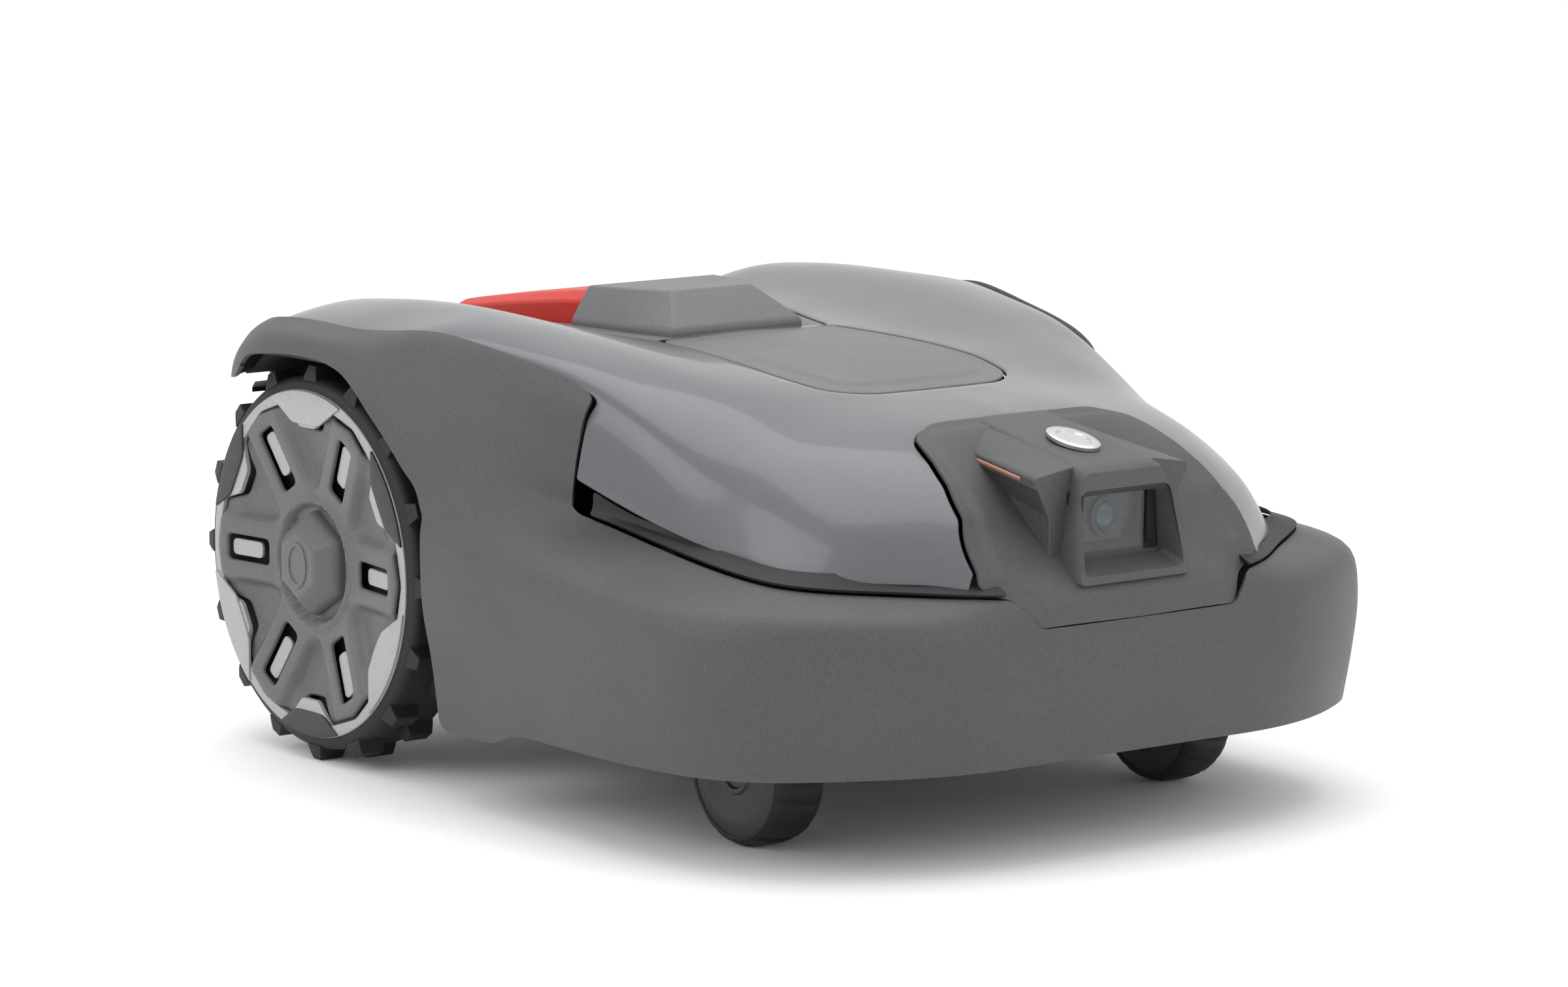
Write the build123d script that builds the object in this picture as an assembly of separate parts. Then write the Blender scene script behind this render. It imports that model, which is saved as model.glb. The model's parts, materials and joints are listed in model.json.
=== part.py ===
"""Robotic lawn mower: sealed chassis, floating shell, camera nose, drive wheels, casters and cutting deck.

Millimetres, +Z up, floor at Z = 0, front towards -Y. The mower's own right-hand side is -X.
"""

import os
from math import cos, degrees, hypot, pi, radians, sin

from build123d import *

# ---------------------------------------------------------------- driving dimensions
HALF_LENGTH = 325.0  # the origin is midway between the front and rear extremes
SKIN = 3.0  # wall of every outer panel
SEAM = 0.8  # half the gap between two outer panels
ROOF_Z = 320.0  # above everything, for cutting prisms

WHEEL_Y, WHEEL_Z = 197.0, 124.0  # drive axle
STUD_R, TYRE_R, RIM_R = 124.0, 116.5, 104.0
TYRE_IN, TYRE_OUT = 184.0, 229.0  # distance of the tyre's two sides from the middle plane
HUBCAP_FACE = 234.0
STUDS_PER_ROW = 16

CASTER_X, CASTER_Y = 156.5, -188.5  # swivel axis
CASTER_TRAIL, CASTER_R, CASTER_HALF_WIDTH = 22.0, 45.0, 19.5
CASTER_ROD_R, CASTER_RUN_Z = 4.5, 98.5
CASTER_WHEEL_Y = CASTER_Y + CASTER_TRAIL

TRAY_Z, TRAY_TOP, LID_Z, LID_TOP = 70.0, 140.0, 142.0, 166.0  # sealed chassis
TRAY_HALF, NOSE_TRAY_HALF = 172.0, 78.0
TRAY_FRONT, TRAY_STEP, TRAY_REAR = -245.0, -108.0, 256.0
GRIP_HALF, GRIP_Y0, GRIP_Y1 = 62.0, 280.0, 293.0  # carrying handle behind the tray

BOARD_Z = 118.0
ROCKER_X, ROCKER_Y = -45.0, -180.0  # main power switch under the nose
SHAFT_R = 7.0

BLADE_Y, BLADE_DISC_Z, BLADE_DISC_R = 20.0, 40.0, 98.0
BLADE_PIVOT_R, BLADE_TIP_R, BLADE_COUNT = 86.0, 120.0, 3
HEIGHT_TRAVEL = 20.0  # each way from the middle cutting height
CARRIAGE_R, GUIDE_X, GUIDE_DY, SCREW_X = 46.0, -64.0, 24.0, 66.0

FLOAT_Z, FLOAT_T, FLOAT_GAP = 184.0, 4.0, 0.5  # sliding frames that carry the shell
FLOAT_X, FLOAT_Y0, FLOAT_Y1, FLOAT_W = 118.0, -140.0, 160.0, 24.0
POST_X, POST_YS, POST_R = 106.0, (-60.0, 120.0), 9.0

TOWER_HALF, TOWER_Y0, TOWER_Y1, PANEL_Z = 58.0, -104.0, 36.0, 220.0  # control tower under the hatch
BUTTONS = (("button_park", -24.0), ("button_start", 24.0))
BUTTON_Y, BUTTON_R = -72.0, 9.0

DECK_Z = 265.2  # just above the rear deck

PIN_R, PIN_PLAY = 2.0, 0.06  # moulded hinge stubs
HATCH_PIN_Y, HATCH_PIN_Z, HATCH_EAR_X = -121.0, 248.5, 28.0
HATCH_RELIEF = 4.5  # extra room for the hatch's front corners as it turns
STOP_PIN_Y, STOP_PIN_Z, STOP_EAR_X = 168.0, 258.0, 40.0


# ---------------------------------------------------------------- small helpers
def block(x0, x1, y0, y1, z0, z1):
    """Box between two corners."""
    centre = Pos((x0 + x1) / 2, (y0 + y1) / 2, (z0 + z1) / 2)
    return centre * Box(x1 - x0, y1 - y0, z1 - z0)


def upright(x, y, z0, z1, r):
    """Cylinder along Z."""
    return Pos(x, y, (z0 + z1) / 2) * Cylinder(r, z1 - z0)


def axle(x0, x1, y, z, r):
    """Cylinder along X."""
    return Pos((x0 + x1) / 2, y, z) * Rot(0, 90, 0) * Cylinder(r, x1 - x0)


def prism_x(points, x0, x1):
    """Polygon of (y, z) points, extruded along X."""
    face = make_face(Polyline([(x0, y, z) for y, z in points], close=True))
    return extrude(face, amount=x1 - x0, dir=(1, 0, 0))


def prism_y(points, y0, y1):
    """Polygon of (x, z) points, extruded along Y."""
    face = make_face(Polyline([(x, y0, z) for x, z in points], close=True))
    return extrude(face, amount=y1 - y0, dir=(0, 1, 0))


def prism_z(points, z0, z1):
    """Polygon of (x, y) points, extruded along Z."""
    face = make_face(Polyline([(x, y, z0) for x, y in points], close=True))
    return extrude(face, amount=z1 - z0, dir=(0, 0, 1))


def both_sides(half):
    """Half outline from the middle plane outwards, closed by its mirror image."""
    return half + [(-x, v) for x, v in reversed(half) if x > 0]


def round_upright_edges(solid, r):
    return fillet(solid.edges().filter_by(Axis.Z), r)


def mirrored(shape):
    return mirror(shape, about=Plane.YZ)


def revolved_x(points, x, y, z, outward):
    """Half section of (offset along the axle, radius) points, turned about the axle at y, z."""
    profile = [(x + outward * a, y + r, z) for a, r in points]
    face = make_face(Polyline(profile, close=True))
    return revolve(face, axis=Axis((x, y, z), (1, 0, 0)), revolution_arc=360)


def grouped(solids):
    return Compound(children=list(solids))


def save(name, shape):
    export_step(shape, f"parts/{name}.step")


# ---------------------------------------------------------------- outer form
# Half sections of the outer skin, from the bottom edge up and in to the middle plane:
# bottom edge, lower crease, upper side, shoulder, sill, lip or wing, seam, ridge, valley, middle.
SECTIONS = [
    (-321, [(98, 62), (104, 88), (104, 122), (99, 141), (94, 149), (86, 154), (78, 156), (60, 158), (30, 160), (0, 160)]),
    (-300, [(163, 60), (170, 88), (169, 122), (152, 147), (126, 156), (106, 166), (92, 180), (64, 194), (32, 200), (0, 202)]),
    (-265, [(202, 59), (209, 88), (210, 122), (192, 150), (164, 159), (152, 168), (134, 190), (94, 213), (46, 224), (0, 227)]),
    (-215, [(233, 57), (240, 88), (242, 122), (226, 152), (194, 163), (181, 173), (160, 205), (116, 230), (60, 240), (0, 243)]),
    (-140, [(239, 55), (247, 88), (249, 122), (236, 155), (208, 168), (191, 181), (170, 217), (126, 242), (65, 253), (0, 255)]),
    (-48, [(240, 52), (248, 90), (251, 126), (241, 160), (226, 181), (216, 212), (191, 252), (150, 267), (75, 263), (0, 263)]),
    (50, [(238, 50), (246, 92), (249, 130), (244, 178), (241, 200), (238, 252), (212, 273), (158, 281), (85, 264), (0, 264)]),
    (190, [(236, 55), (244, 95), (247, 130), (247, 200), (247, 236), (242, 266), (220, 271), (165, 285), (100, 265), (0, 265)]),
    (262, [(232, 60), (240, 95), (243, 130), (243, 200), (243, 234), (238, 263), (220, 269), (165, 278), (100, 261), (0, 260)]),
    (279, [(222, 66), (230, 95), (232, 130), (232, 200), (232, 232), (228, 256), (212, 263), (165, 271), (100, 256), (0, 255)]),
    (323, [(160, 80), (165, 100), (167, 130), (167, 180), (165, 205), (160, 225), (150, 236), (125, 244), (80, 244), (0, 244)]),
]
UNDERCUT = 40.0  # how far the hollow runs below the skin's bottom edge


def inset(half, d):
    """Half section moved inwards by d, with its bottom edge run down so the hollow is open below."""
    out = []
    for i, (x, z) in enumerate(half):
        x0, z0 = half[max(i - 1, 0)]
        x1, z1 = half[i + 1] if i + 1 < len(half) else (-half[i - 1][0], half[i - 1][1])
        tx, tz = x1 - x0, z1 - z0
        n = hypot(tx, tz)
        out.append((max(x - d * tz / n, 0.0), z + d * tx / n))
    out[0] = (out[0][0], out[0][1] - UNDERCUT)
    out[-1] = (0.0, half[-1][1] - d)
    return out


def skin_loft(d):
    """Solid inside the outer skin, inset by d."""
    faces = []
    last = len(SECTIONS) - 1
    for i, (y, half) in enumerate(SECTIONS):
        at = y + d if i == 0 else y - d if i == last else y
        half = inset(half, d) if d else half
        faces.append(make_face(Polyline([(x, at, z) for x, z in both_sides(half)], close=True)))
    return loft(faces, ruled=True)


ARCH_TOP = [(45, 174), (60, 205), (84, 233), (110, 249), (140, 255), (252, 255), (266, 244), (272, 233)]
ARCH_CUT_X, ARCH_INNER_X = 176.0, 182.0
LINER_T = 2.5  # thickness of the band that lines each wheel arch
ARCH_BAND = [(45, 60)] + ARCH_TOP + [
    (272 + LINER_T, 233), (268, 246), (253, 255 + LINER_T), (139, 255 + LINER_T), (109, 251.5), (82, 235),
    (58, 206.5), (45 - LINER_T, 175), (45 - LINER_T, 60),
]


def arch_cut():
    """Volume taken out of the shell around each drive wheel, seen from the side as (y, z)."""
    arch = [(45, 0)] + ARCH_TOP + [(400, 233), (400, 0)]
    left = prism_x(arch, ARCH_CUT_X, 300)
    return left + mirrored(left)


# ---------------------------------------------------------------- panel outlines
def cover_zone(gap):
    """Everything above the lip and inside the seam that parts the top cover from the lower shell."""
    lip = [
        (-400, 152 + gap), (-321, 152 + gap), (-300, 161 + gap), (-265, 163 + gap), (-215, 168 + gap),
        (-140, 174 + gap), (-48, 197 + gap), (-48 - gap, ROOF_Z), (-400, ROOF_Z),
    ]
    seam = both_sides([
        (0, -60), (192 - gap, -60), (192 - gap, -48), (212 - gap, 50), (220 - gap, 190), (220 - gap, 262),
        (210 - gap, 283), (150 - gap, 283), (150 - gap, 316 - gap), (0, 316 - gap),
    ])
    return prism_x(lip, -300, 300) + prism_z(seam, 198 + gap, ROOF_Z)


def hatch_outline(gap, relief=0.0):
    """Plan of the hatch. relief opens the front corners, which swing forward as the hatch turns."""
    return both_sides([
        (0, -141 + gap), (48 - gap, -136 + gap - relief), (70 - gap + relief, -120 + gap - relief),
        (78 - gap, -80),
        (66 - gap, 57 - gap), (0, 57 - gap),
    ])


def deck_outline(gap):
    return both_sides([
        (0, 57 + gap), (66 - gap, 57 + gap), (84 - gap, 118), (100 - gap, 200), (104 - gap, 312 - gap),
        (0, 312 - gap),
    ])


def nose_outline(gap):
    return both_sides([
        (0, -206 - gap), (66 - gap, -206 - gap), (80 - gap, -216), (104 - gap, -299), (106 - gap, -400), (0, -400),
    ])


def nose_apron(gap):
    """Front outline of the nose where it laps down over the bumper, as (x, z)."""
    return both_sides([
        (0, 137 + gap), (72 - gap, 137 + gap), (85 - gap, 153 + gap), (106 - gap, 156 + gap),
        (106 - gap, ROOF_Z), (0, ROOF_Z),
    ])


def stop_outline(gap):
    """Plan of the stop button, grown by gap for its opening."""
    return both_sides([
        (0, 152 - gap), (54 + gap, 152 - gap), (58 + gap, 172), (62 + gap, 292), (54 + gap, 302 + gap), (0, 302 + gap),
    ])


# ---------------------------------------------------------------- floating shell
def make_shell():
    inner = skin_loft(SKIN)
    skin = skin_loft(0) - inner
    make_lower_shell(skin, inner)
    make_top_cover(skin, inner)
    make_hatch(skin, inner)
    make_deck(skin, inner)
    make_antenna()
    make_stop_button()
    make_nose(skin, inner)


def make_lower_shell(skin, inner):
    """Bumper, sides and rear wall in one moulding, with wheel-arch bands and a recessed band under the lip."""
    rear_opening = block(-70, 70, 300, 400, 60, 150)
    shell = skin - cover_zone(-SEAM) - arch_cut() - prism_y(nose_apron(-SEAM), -400, -296) - rear_opening
    band = [
        (-305, 152), (-300, 156), (-265, 158), (-215, 162), (-140, 168), (-54, 184),
        (-54, 206), (-140, 186), (-215, 178), (-265, 172), (-300, 170), (-305, 168),
    ]
    strip = (inner - skin_loft(SKIN + 2.5)) & prism_x(band, -300, 300)
    strip -= prism_z(nose_outline(-2), 100, ROOF_Z)
    liner = prism_x(ARCH_BAND, ARCH_INNER_X, 300) & inner
    shell = shell + strip + liner + mirrored(liner)
    save("lower_shell", shell)


def make_top_cover(skin, inner):
    """Painted cover with the columns it is carried on and the cross bar that holds the hatch ears."""
    cover = skin & cover_zone(SEAM)
    cover -= prism_z(hatch_outline(-SEAM, HATCH_RELIEF), 200, ROOF_Z)
    cover -= prism_z(deck_outline(-SEAM), 200, ROOF_Z)
    cover -= prism_z(nose_outline(-SEAM), 100, ROOF_Z)
    cover -= arch_cut()
    column_z = FLOAT_Z + 2 * (FLOAT_T + FLOAT_GAP) + FLOAT_GAP
    for x in (-POST_X, POST_X):
        for y in (-100, 120):
            cover += upright(x, y, column_z, ROOF_Z, 8) & inner
    cover += block(-190, 190, -126, -116, 216, 223) & inner
    for x in (-HATCH_EAR_X, HATCH_EAR_X):
        ear = block(x - 2, x + 2, HATCH_PIN_Y - 3, HATCH_PIN_Y + 3, 222, HATCH_PIN_Z)
        ear += axle(x - 2, x + 2, HATCH_PIN_Y, HATCH_PIN_Z, PIN_R + 1.6)
        cover += ear - axle(x - 3, x + 3, HATCH_PIN_Y, HATCH_PIN_Z, PIN_R + PIN_PLAY)
    save("top_cover", cover)


def make_hatch(skin, inner):
    """Hatch over the controls, hinged at its front edge, with moulded lugs and stubs."""
    hatch = skin & prism_z(hatch_outline(SEAM), 200, ROOF_Z)
    for side in (-1, 1):
        x = side * (HATCH_EAR_X + 5)
        lug = block(x - 2, x + 2, HATCH_PIN_Y - 3, HATCH_PIN_Y + 3, HATCH_PIN_Z - 3, ROOF_Z) & inner
        tip = side * (HATCH_EAR_X - 3)
        stub = axle(min(tip, x), max(tip, x), HATCH_PIN_Y, HATCH_PIN_Z, PIN_R)
        hatch += lug + stub
    save("front_hatch", hatch)


def make_deck(skin, inner):
    """Deck behind the hatch, and the well under the stop button."""
    deck = (skin & prism_z(deck_outline(SEAM), 200, ROOF_Z)) - prism_z(stop_outline(1.2), 200, ROOF_Z)
    save("rear_deck", deck)
    well = block(-68, 68, 148, 308, 230, 262) - block(-66, 66, 150, 306, 232, 270)
    well &= inner
    for x in (-STOP_EAR_X, STOP_EAR_X):
        ear = block(x - 2, x + 2, STOP_PIN_Y - 5, STOP_PIN_Y + 5, 231, STOP_PIN_Z + 5)
        well += ear - axle(x - 3, x + 3, STOP_PIN_Y, STOP_PIN_Z, PIN_R + PIN_PLAY)
    save("stop_well", well + block(-10, 10, 262, 276, 231, 240))


def tapered(base, top, z0, z1):
    """Solid between two matching plan outlines."""
    low = make_face(Polyline([(x, y, z0) for x, y in base], close=True))
    high = make_face(Polyline([(x, y, z1) for x, y in top], close=True))
    return loft([low, high], ruled=True)


def make_antenna():
    """Raised housing over the satellite antenna, standing on the rear deck."""
    solid = tapered(
        both_sides([(0, 61), (50, 61), (60, 100), (62, 150), (0, 150)]),
        both_sides([(0, 88), (32, 88), (44, 112), (50, 150), (0, 150)]),
        DECK_Z, 290,
    )
    hollow = tapered(
        both_sides([(0, 66), (45, 66), (55, 101), (57, 146), (0, 146)]),
        both_sides([(0, 90), (29, 90), (40, 113), (46, 146), (0, 146)]),
        DECK_Z - 0.1, 287,
    )
    floor = block(-40, 40, 76, 146, DECK_Z, 270.5)
    save("antenna_housing", solid - hollow + floor)
    save("antenna_module", round_upright_edges(block(-26, 26, 94, 138, 270.5, 280), 6))


def make_stop_button():
    """Stop button: a wedge that hinges down at its front edge."""
    side = [(152, 256), (152, 288), (172, 287), (286, 268), (302, 256), (302, 250), (170, 250)]
    body = prism_x(side, -62, 62) & prism_z(stop_outline(0), 200, ROOF_Z)
    body &= prism_y(both_sides([(0, 240), (62, 240), (62, 258), (50, 290), (0, 290)]), 100, 320)
    hollow = [(156, 249), (156, 284), (172, 283), (284, 265), (297, 253), (297, 249)]
    body -= prism_x(hollow, -46, 46)
    for side in (-1, 1):
        tip, root = side * (STOP_EAR_X - 3), side * 47
        body += axle(min(tip, root), max(tip, root), STOP_PIN_Y, STOP_PIN_Z, PIN_R)
    save("stop_button", body)


# ---------------------------------------------------------------- camera nose
def tapered_y(near, far, y0, y1):
    """Solid between two matching (x, z) outlines at two y positions."""
    low = make_face(Polyline([(x, y0, z) for x, z in near], close=True))
    high = make_face(Polyline([(x, y1, z) for x, z in far], close=True))
    return loft([low, high], ruled=True)


WINDOW = both_sides([(0, 170), (33, 170), (31, 207), (0, 207)])
WINDOW_BEVEL = both_sides([(0, 161), (41, 161), (37, 213), (0, 213)])
HOOD_SIDE = [(-323, 137), (-323, 152), (-318, 160), (-308, 222), (-303, 227), (-234, 241), (-206, 243), (-206, 137)]
HOOD_FRONT = both_sides([(0, 120), (44, 137), (46, 158), (33, 224), (28, 244), (0, 244)])
CORE_SIDE = [(-300, 140), (-300, 219), (-232, 236), (-212, 236), (-212, 140)]
CORE_FRONT = both_sides([(0, 120), (41, 137), (42, 158), (30, 220), (25, 240), (0, 240)])


def make_nose(skin, inner):
    """Camera nose: an apron flush with the cover and a hooded camera box on top."""
    core = prism_x(CORE_SIDE, -60, 60) & prism_y(CORE_FRONT, -330, -200)
    mouth = tapered_y(WINDOW, WINDOW_BEVEL, -300, -326) + prism_y(WINDOW, -330, -290)
    apron = skin & prism_z(nose_outline(SEAM), 100, ROOF_Z) & prism_y(nose_apron(SEAM), -400, -150)
    hood = prism_x(HOOD_SIDE, -60, 60) & prism_y(HOOD_FRONT, -330, -206)
    save("nose_housing", (apron + (hood - inner)) - core - mouth)
    save("camera_window", prism_y(both_sides([(0, 167), (35, 167), (31, 210), (0, 210)]), -299.5, -297.5))
    body = block(-24, 24, -294, -252, 172, 208) + block(-24, 24, -253, -212, 172, 176)
    barrel = Pos(-2, -295, 189) * Rot(90, 0, 0) * Cylinder(12, 3)
    save("camera_module", body + barrel)
    left_brow = brow()
    save("headlamp_brow_left", left_brow)
    save("headlamp_brow_right", mirrored(left_brow))
    bar = light_bar()
    save("light_bars", grouped([bar, mirrored(bar)]))
    emblem = Pos(0, -268, 235.1) * Rot(11.5, 0, 0) * Cylinder(13, 1.2)
    save("nose_emblem", emblem)


def light_bar():
    """Daylight strip let into the outer edge of a brow."""
    bar = prism_x([(-296, 216.5), (-296, 219.0), (-250, 229.0), (-250, 226.5)], 53.5, 58.5)
    return bar - skin_loft(-0.2)


def brow():
    """Headlamp brow beside the camera box: a wedge that overhangs the light bar."""
    wedge = prism_x([(-300, 214), (-300, 222), (-226, 237), (-222, 214), (-290, 168)], 30, 58)
    wedge &= prism_y([(30, 150), (44, 160), (58, 214), (58, 226), (34, 245), (30, 245)], -330, -200)
    clear = [(0, 120), (44.3, 137), (46.3, 158), (33.3, 224), (28.3, 250), (0, 250)]
    wedge -= prism_y(both_sides(clear), -330, -200)
    return wedge - skin_loft(-0.2) - light_bar()


# ---------------------------------------------------------------- sealed chassis
def case_outline(d):
    """Plan of the sealed case, inset by d."""
    return both_sides([
        (0, TRAY_FRONT + d), (NOSE_TRAY_HALF - d, TRAY_FRONT + d), (NOSE_TRAY_HALF - d, TRAY_STEP + d),
        (TRAY_HALF - d, TRAY_STEP + d), (TRAY_HALF - d, TRAY_REAR - d), (0, TRAY_REAR - d),
    ])


def make_tray():
    """Lower half of the sealed case, with the caster arms and the board's pillars moulded in."""
    tray = prism_z(case_outline(0), TRAY_Z, TRAY_TOP)
    tray -= prism_z(case_outline(SKIN), TRAY_Z + SKIN, TRAY_TOP + 1)
    tray -= upright(0, BLADE_Y, TRAY_Z - 1, TRAY_Z + SKIN + 1, CARRIAGE_R + 8)
    tray -= block(-61, 61, 99, 247, TRAY_Z - 1, TRAY_Z + SKIN + 1)
    tray -= block(ROCKER_X - 10, ROCKER_X + 10, ROCKER_Y - 6, ROCKER_Y + 6, TRAY_Z - 1, TRAY_Z + SKIN + 1)
    for side in (-1, 1):
        tray -= axle(side * TRAY_HALF - 5, side * TRAY_HALF + 5, WHEEL_Y, WHEEL_Z, 12)
        root, tip = side * (NOSE_TRAY_HALF - 1), side * CASTER_X
        arm = block(min(root, tip), max(root, tip), CASTER_Y - 16, CASTER_Y + 16, 112, 132)
        arm += upright(tip, CASTER_Y, 108, 137, 19)
        tray += arm - upright(tip, CASTER_Y, 100, 150, 9)
        for y in (-228, -70):
            tray += upright(side * 60, y, TRAY_Z + 1, BOARD_Z, 3.5)
    save("chassis_tray", tray)


def make_chassis():
    make_tray()
    seal = prism_z(case_outline(0), TRAY_TOP, LID_Z) - prism_z(case_outline(SKIN), TRAY_TOP - 1, LID_Z + 1)
    save("chassis_seal", seal)
    lid = prism_z(case_outline(0), LID_Z, LID_TOP) - prism_z(case_outline(SKIN), LID_Z - 1, LID_TOP - SKIN)
    well = block(-TOWER_HALF + SKIN, TOWER_HALF - SKIN, TOWER_Y0 + SKIN, TOWER_Y1 - SKIN, LID_Z - 1, PANEL_Z)
    tower = block(-TOWER_HALF, TOWER_HALF, TOWER_Y0, TOWER_Y1, LID_TOP - SKIN, PANEL_Z - 4)
    save("chassis_lid", lid + tower - well)
    screws = [screw(x, y, LID_TOP, 1) for x in (-160, 160) for y in (-95, 60, 240)]
    screws += [screw(x, y, TRAY_Z - SKIN, -1) for x in (-63.5, 63.5) for y in (108, 238)]
    save("case_screws", grouped(screws))
    ring = upright(0, BLADE_Y, TRAY_Z - 4, TRAY_Z, CARRIAGE_R + 14)
    ring += upright(0, BLADE_Y, TRAY_Z, TRAY_Z + 8, CARRIAGE_R + 7.9)
    save("carriage_seal", ring - upright(0, BLADE_Y, 0, 200, CARRIAGE_R + 0.5))
    grip = block(-GRIP_HALF, GRIP_HALF, GRIP_Y0, GRIP_Y1, 92, 108)
    grip = fillet(grip.edges().filter_by(Axis.X), 6)
    for x in (-GRIP_HALF, GRIP_HALF):
        grip += block(x - 5, x + 5, TRAY_REAR, GRIP_Y1, 90, 110)
    save("carry_handle", grip)
    contacts = [round_upright_edges(block(x - 12, x + 12, -238, -224, TRAY_Z - 2, TRAY_Z), 3) for x in (-34, 34)]
    save("charging_contacts", grouped(contacts))
    rocker = [(-9.5, 69.5), (-9.5, 76), (9.5, 76), (9.5, 69.5), (0, 67.5)]
    rocker = prism_y([(x + ROCKER_X, z) for x, z in rocker], ROCKER_Y - 5.2, ROCKER_Y + 5.2)
    rocker += Pos(ROCKER_X, ROCKER_Y, 73) * Rot(90, 0, 0) * Cylinder(1.5, 11.6)
    save("power_rocker", rocker)
    bushes = []
    for side in (-1, 1):
        bush = upright(side * CASTER_X, CASTER_Y, 108, 137, 9) + upright(side * CASTER_X, CASTER_Y, 105, 108, 13)
        bushes.append(bush - upright(side * CASTER_X, CASTER_Y, 100, 150, CASTER_ROD_R + PIN_PLAY))
    save("caster_bushes", grouped(bushes))


def screw(x, y, z, up):
    """Pan head standing on a face at z, with a recess in its top."""
    head = upright(x, y, min(z, z + up * 2.2), max(z, z + up * 2.2), 3.6)
    recess = upright(x, y, min(z + up, z + up * 3), max(z + up, z + up * 3), 1.4)
    return head - recess


def make_power():
    save("battery_pack", round_upright_edges(block(-58, 58, 102, 244, TRAY_Z + 1, TRAY_Z + 53), 8))
    save("battery_cover", round_upright_edges(block(-68, 68, 94, 251, TRAY_Z - 3, TRAY_Z), 8))
    board = block(-66, 66, -234, -62, BOARD_Z, BOARD_Z + 1.6)
    top = BOARD_Z + 1.6
    chips = [
        block(-50, -20, -210, -180, top, top + 3.4), block(10, 44, -150, -110, top, top + 6),
        block(-40, -12, -120, -90, top, top + 12),
    ]
    save("main_circuit_board", board + chips)
    motors = []
    for side in (-1, 1):
        can = axle(min(side * 92, side * 148), max(side * 92, side * 148), WHEEL_Y, WHEEL_Z, 30)
        can += axle(min(side * 148, side * 169), max(side * 148, side * 169), WHEEL_Y, WHEEL_Z, 36)
        motors.append(can - axle(-220, 220, WHEEL_Y, WHEEL_Z, SHAFT_R + PIN_PLAY))
    save("drive_gearmotors", grouped(motors))


# ---------------------------------------------------------------- drive wheels
def stud(angle, x0, x1, outward):
    """One tread block: a tapered bar across the tyre."""
    w, t = 11.0, 7.0
    foot = [(-w / 2 - 2, TYRE_R - 2), (w / 2 + 2, TYRE_R - 2), (t / 2, STUD_R), (-t / 2, STUD_R)]
    turned = [(WHEEL_Y + u * cos(angle) + v * sin(angle), WHEEL_Z - u * sin(angle) + v * cos(angle)) for u, v in foot]
    return prism_x(turned, min(x0 * outward, x1 * outward), max(x0 * outward, x1 * outward))


def make_drive_wheel(side_name, outward):
    section = [
        (TYRE_IN, RIM_R), (TYRE_IN, TYRE_R - 4), (TYRE_IN + 6, TYRE_R), (TYRE_OUT - 8, TYRE_R),
        (TYRE_OUT, TYRE_R - 5), (TYRE_OUT, RIM_R),
    ]
    tyre = revolved_x(section, 0, WHEEL_Y, WHEEL_Z, outward)
    step = 2 * pi / STUDS_PER_ROW
    outer_row = [stud(i * step, TYRE_OUT - 22, TYRE_OUT - 1, outward) for i in range(STUDS_PER_ROW)]
    inner_row = [stud((i + 0.5) * step, TYRE_IN + 1, TYRE_IN + 22, outward) for i in range(STUDS_PER_ROW)]
    save(f"drive_tyre_{side_name}", tyre + outer_row + inner_row)
    section = [
        (186, SHAFT_R), (186, 24), (199, 28), (199, 98), (186, 101), (186, RIM_R), (222, RIM_R), (222, 101),
        (203, 98), (203, 28), (206, 24), (206, SHAFT_R),
    ]
    save(f"drive_rim_{side_name}", revolved_x(section, 0, WHEEL_Y, WHEEL_Z, outward))
    section = [
        (207, 0), (207, 30), (218, 42), (222, 84), (222, RIM_R), (229.1, RIM_R), (229.1, 112), (232, 112),
        (HUBCAP_FACE, 109), (230, 85), (226, 60), (223, 34), (237, 30), (239, 22), (239, 0),
    ]
    save(f"hubcap_{side_name}", revolved_x(section, 0, WHEEL_Y, WHEEL_Z, outward))
    ends = (outward * 150, outward * 206.5)
    save(f"wheel_shaft_{side_name}", axle(min(ends), max(ends), WHEEL_Y, WHEEL_Z, SHAFT_R))


# ---------------------------------------------------------------- casters
def make_caster(side_name, outward):
    """Bent-rod caster: the rod turns in a bush in the arm and carries the wheel on its lower end."""
    sx, x_in = outward * CASTER_X, outward * (CASTER_X - 28)
    route = [
        (sx, CASTER_Y, 146), (sx, CASTER_Y, CASTER_RUN_Z), (x_in, CASTER_WHEEL_Y, CASTER_RUN_Z),
        (x_in, CASTER_WHEEL_Y, CASTER_R), (outward * (CASTER_X + 16), CASTER_WHEEL_Y, CASTER_R),
    ]
    section = Plane(origin=route[0], z_dir=(0, 0, -1)) * Circle(CASTER_ROD_R)
    rod = sweep(section, path=FilletPolyline(route, radius=7.0))
    save(f"caster_rod_{side_name}", rod + upright(sx, CASTER_Y, 138, 141, CASTER_ROD_R + 4))
    w, bore = CASTER_HALF_WIDTH, CASTER_ROD_R + PIN_PLAY
    section = [
        (-w, 10), (-w, 30), (-15, 37), (-15, 40), (15, 40), (15, 37), (w, 30), (w, 0), (16.5, 0), (16.5, bore),
        (-15, bore), (-15, 10),
    ]
    save(f"caster_wheel_{side_name}", revolved_x(section, sx, CASTER_WHEEL_Y, CASTER_R, outward))
    section = [(-15, 40), (-15, 42), (-9, CASTER_R), (9, CASTER_R), (15, 42), (15, 40)]
    save(f"caster_tread_{side_name}", revolved_x(section, sx, CASTER_WHEEL_Y, CASTER_R, outward))


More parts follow.
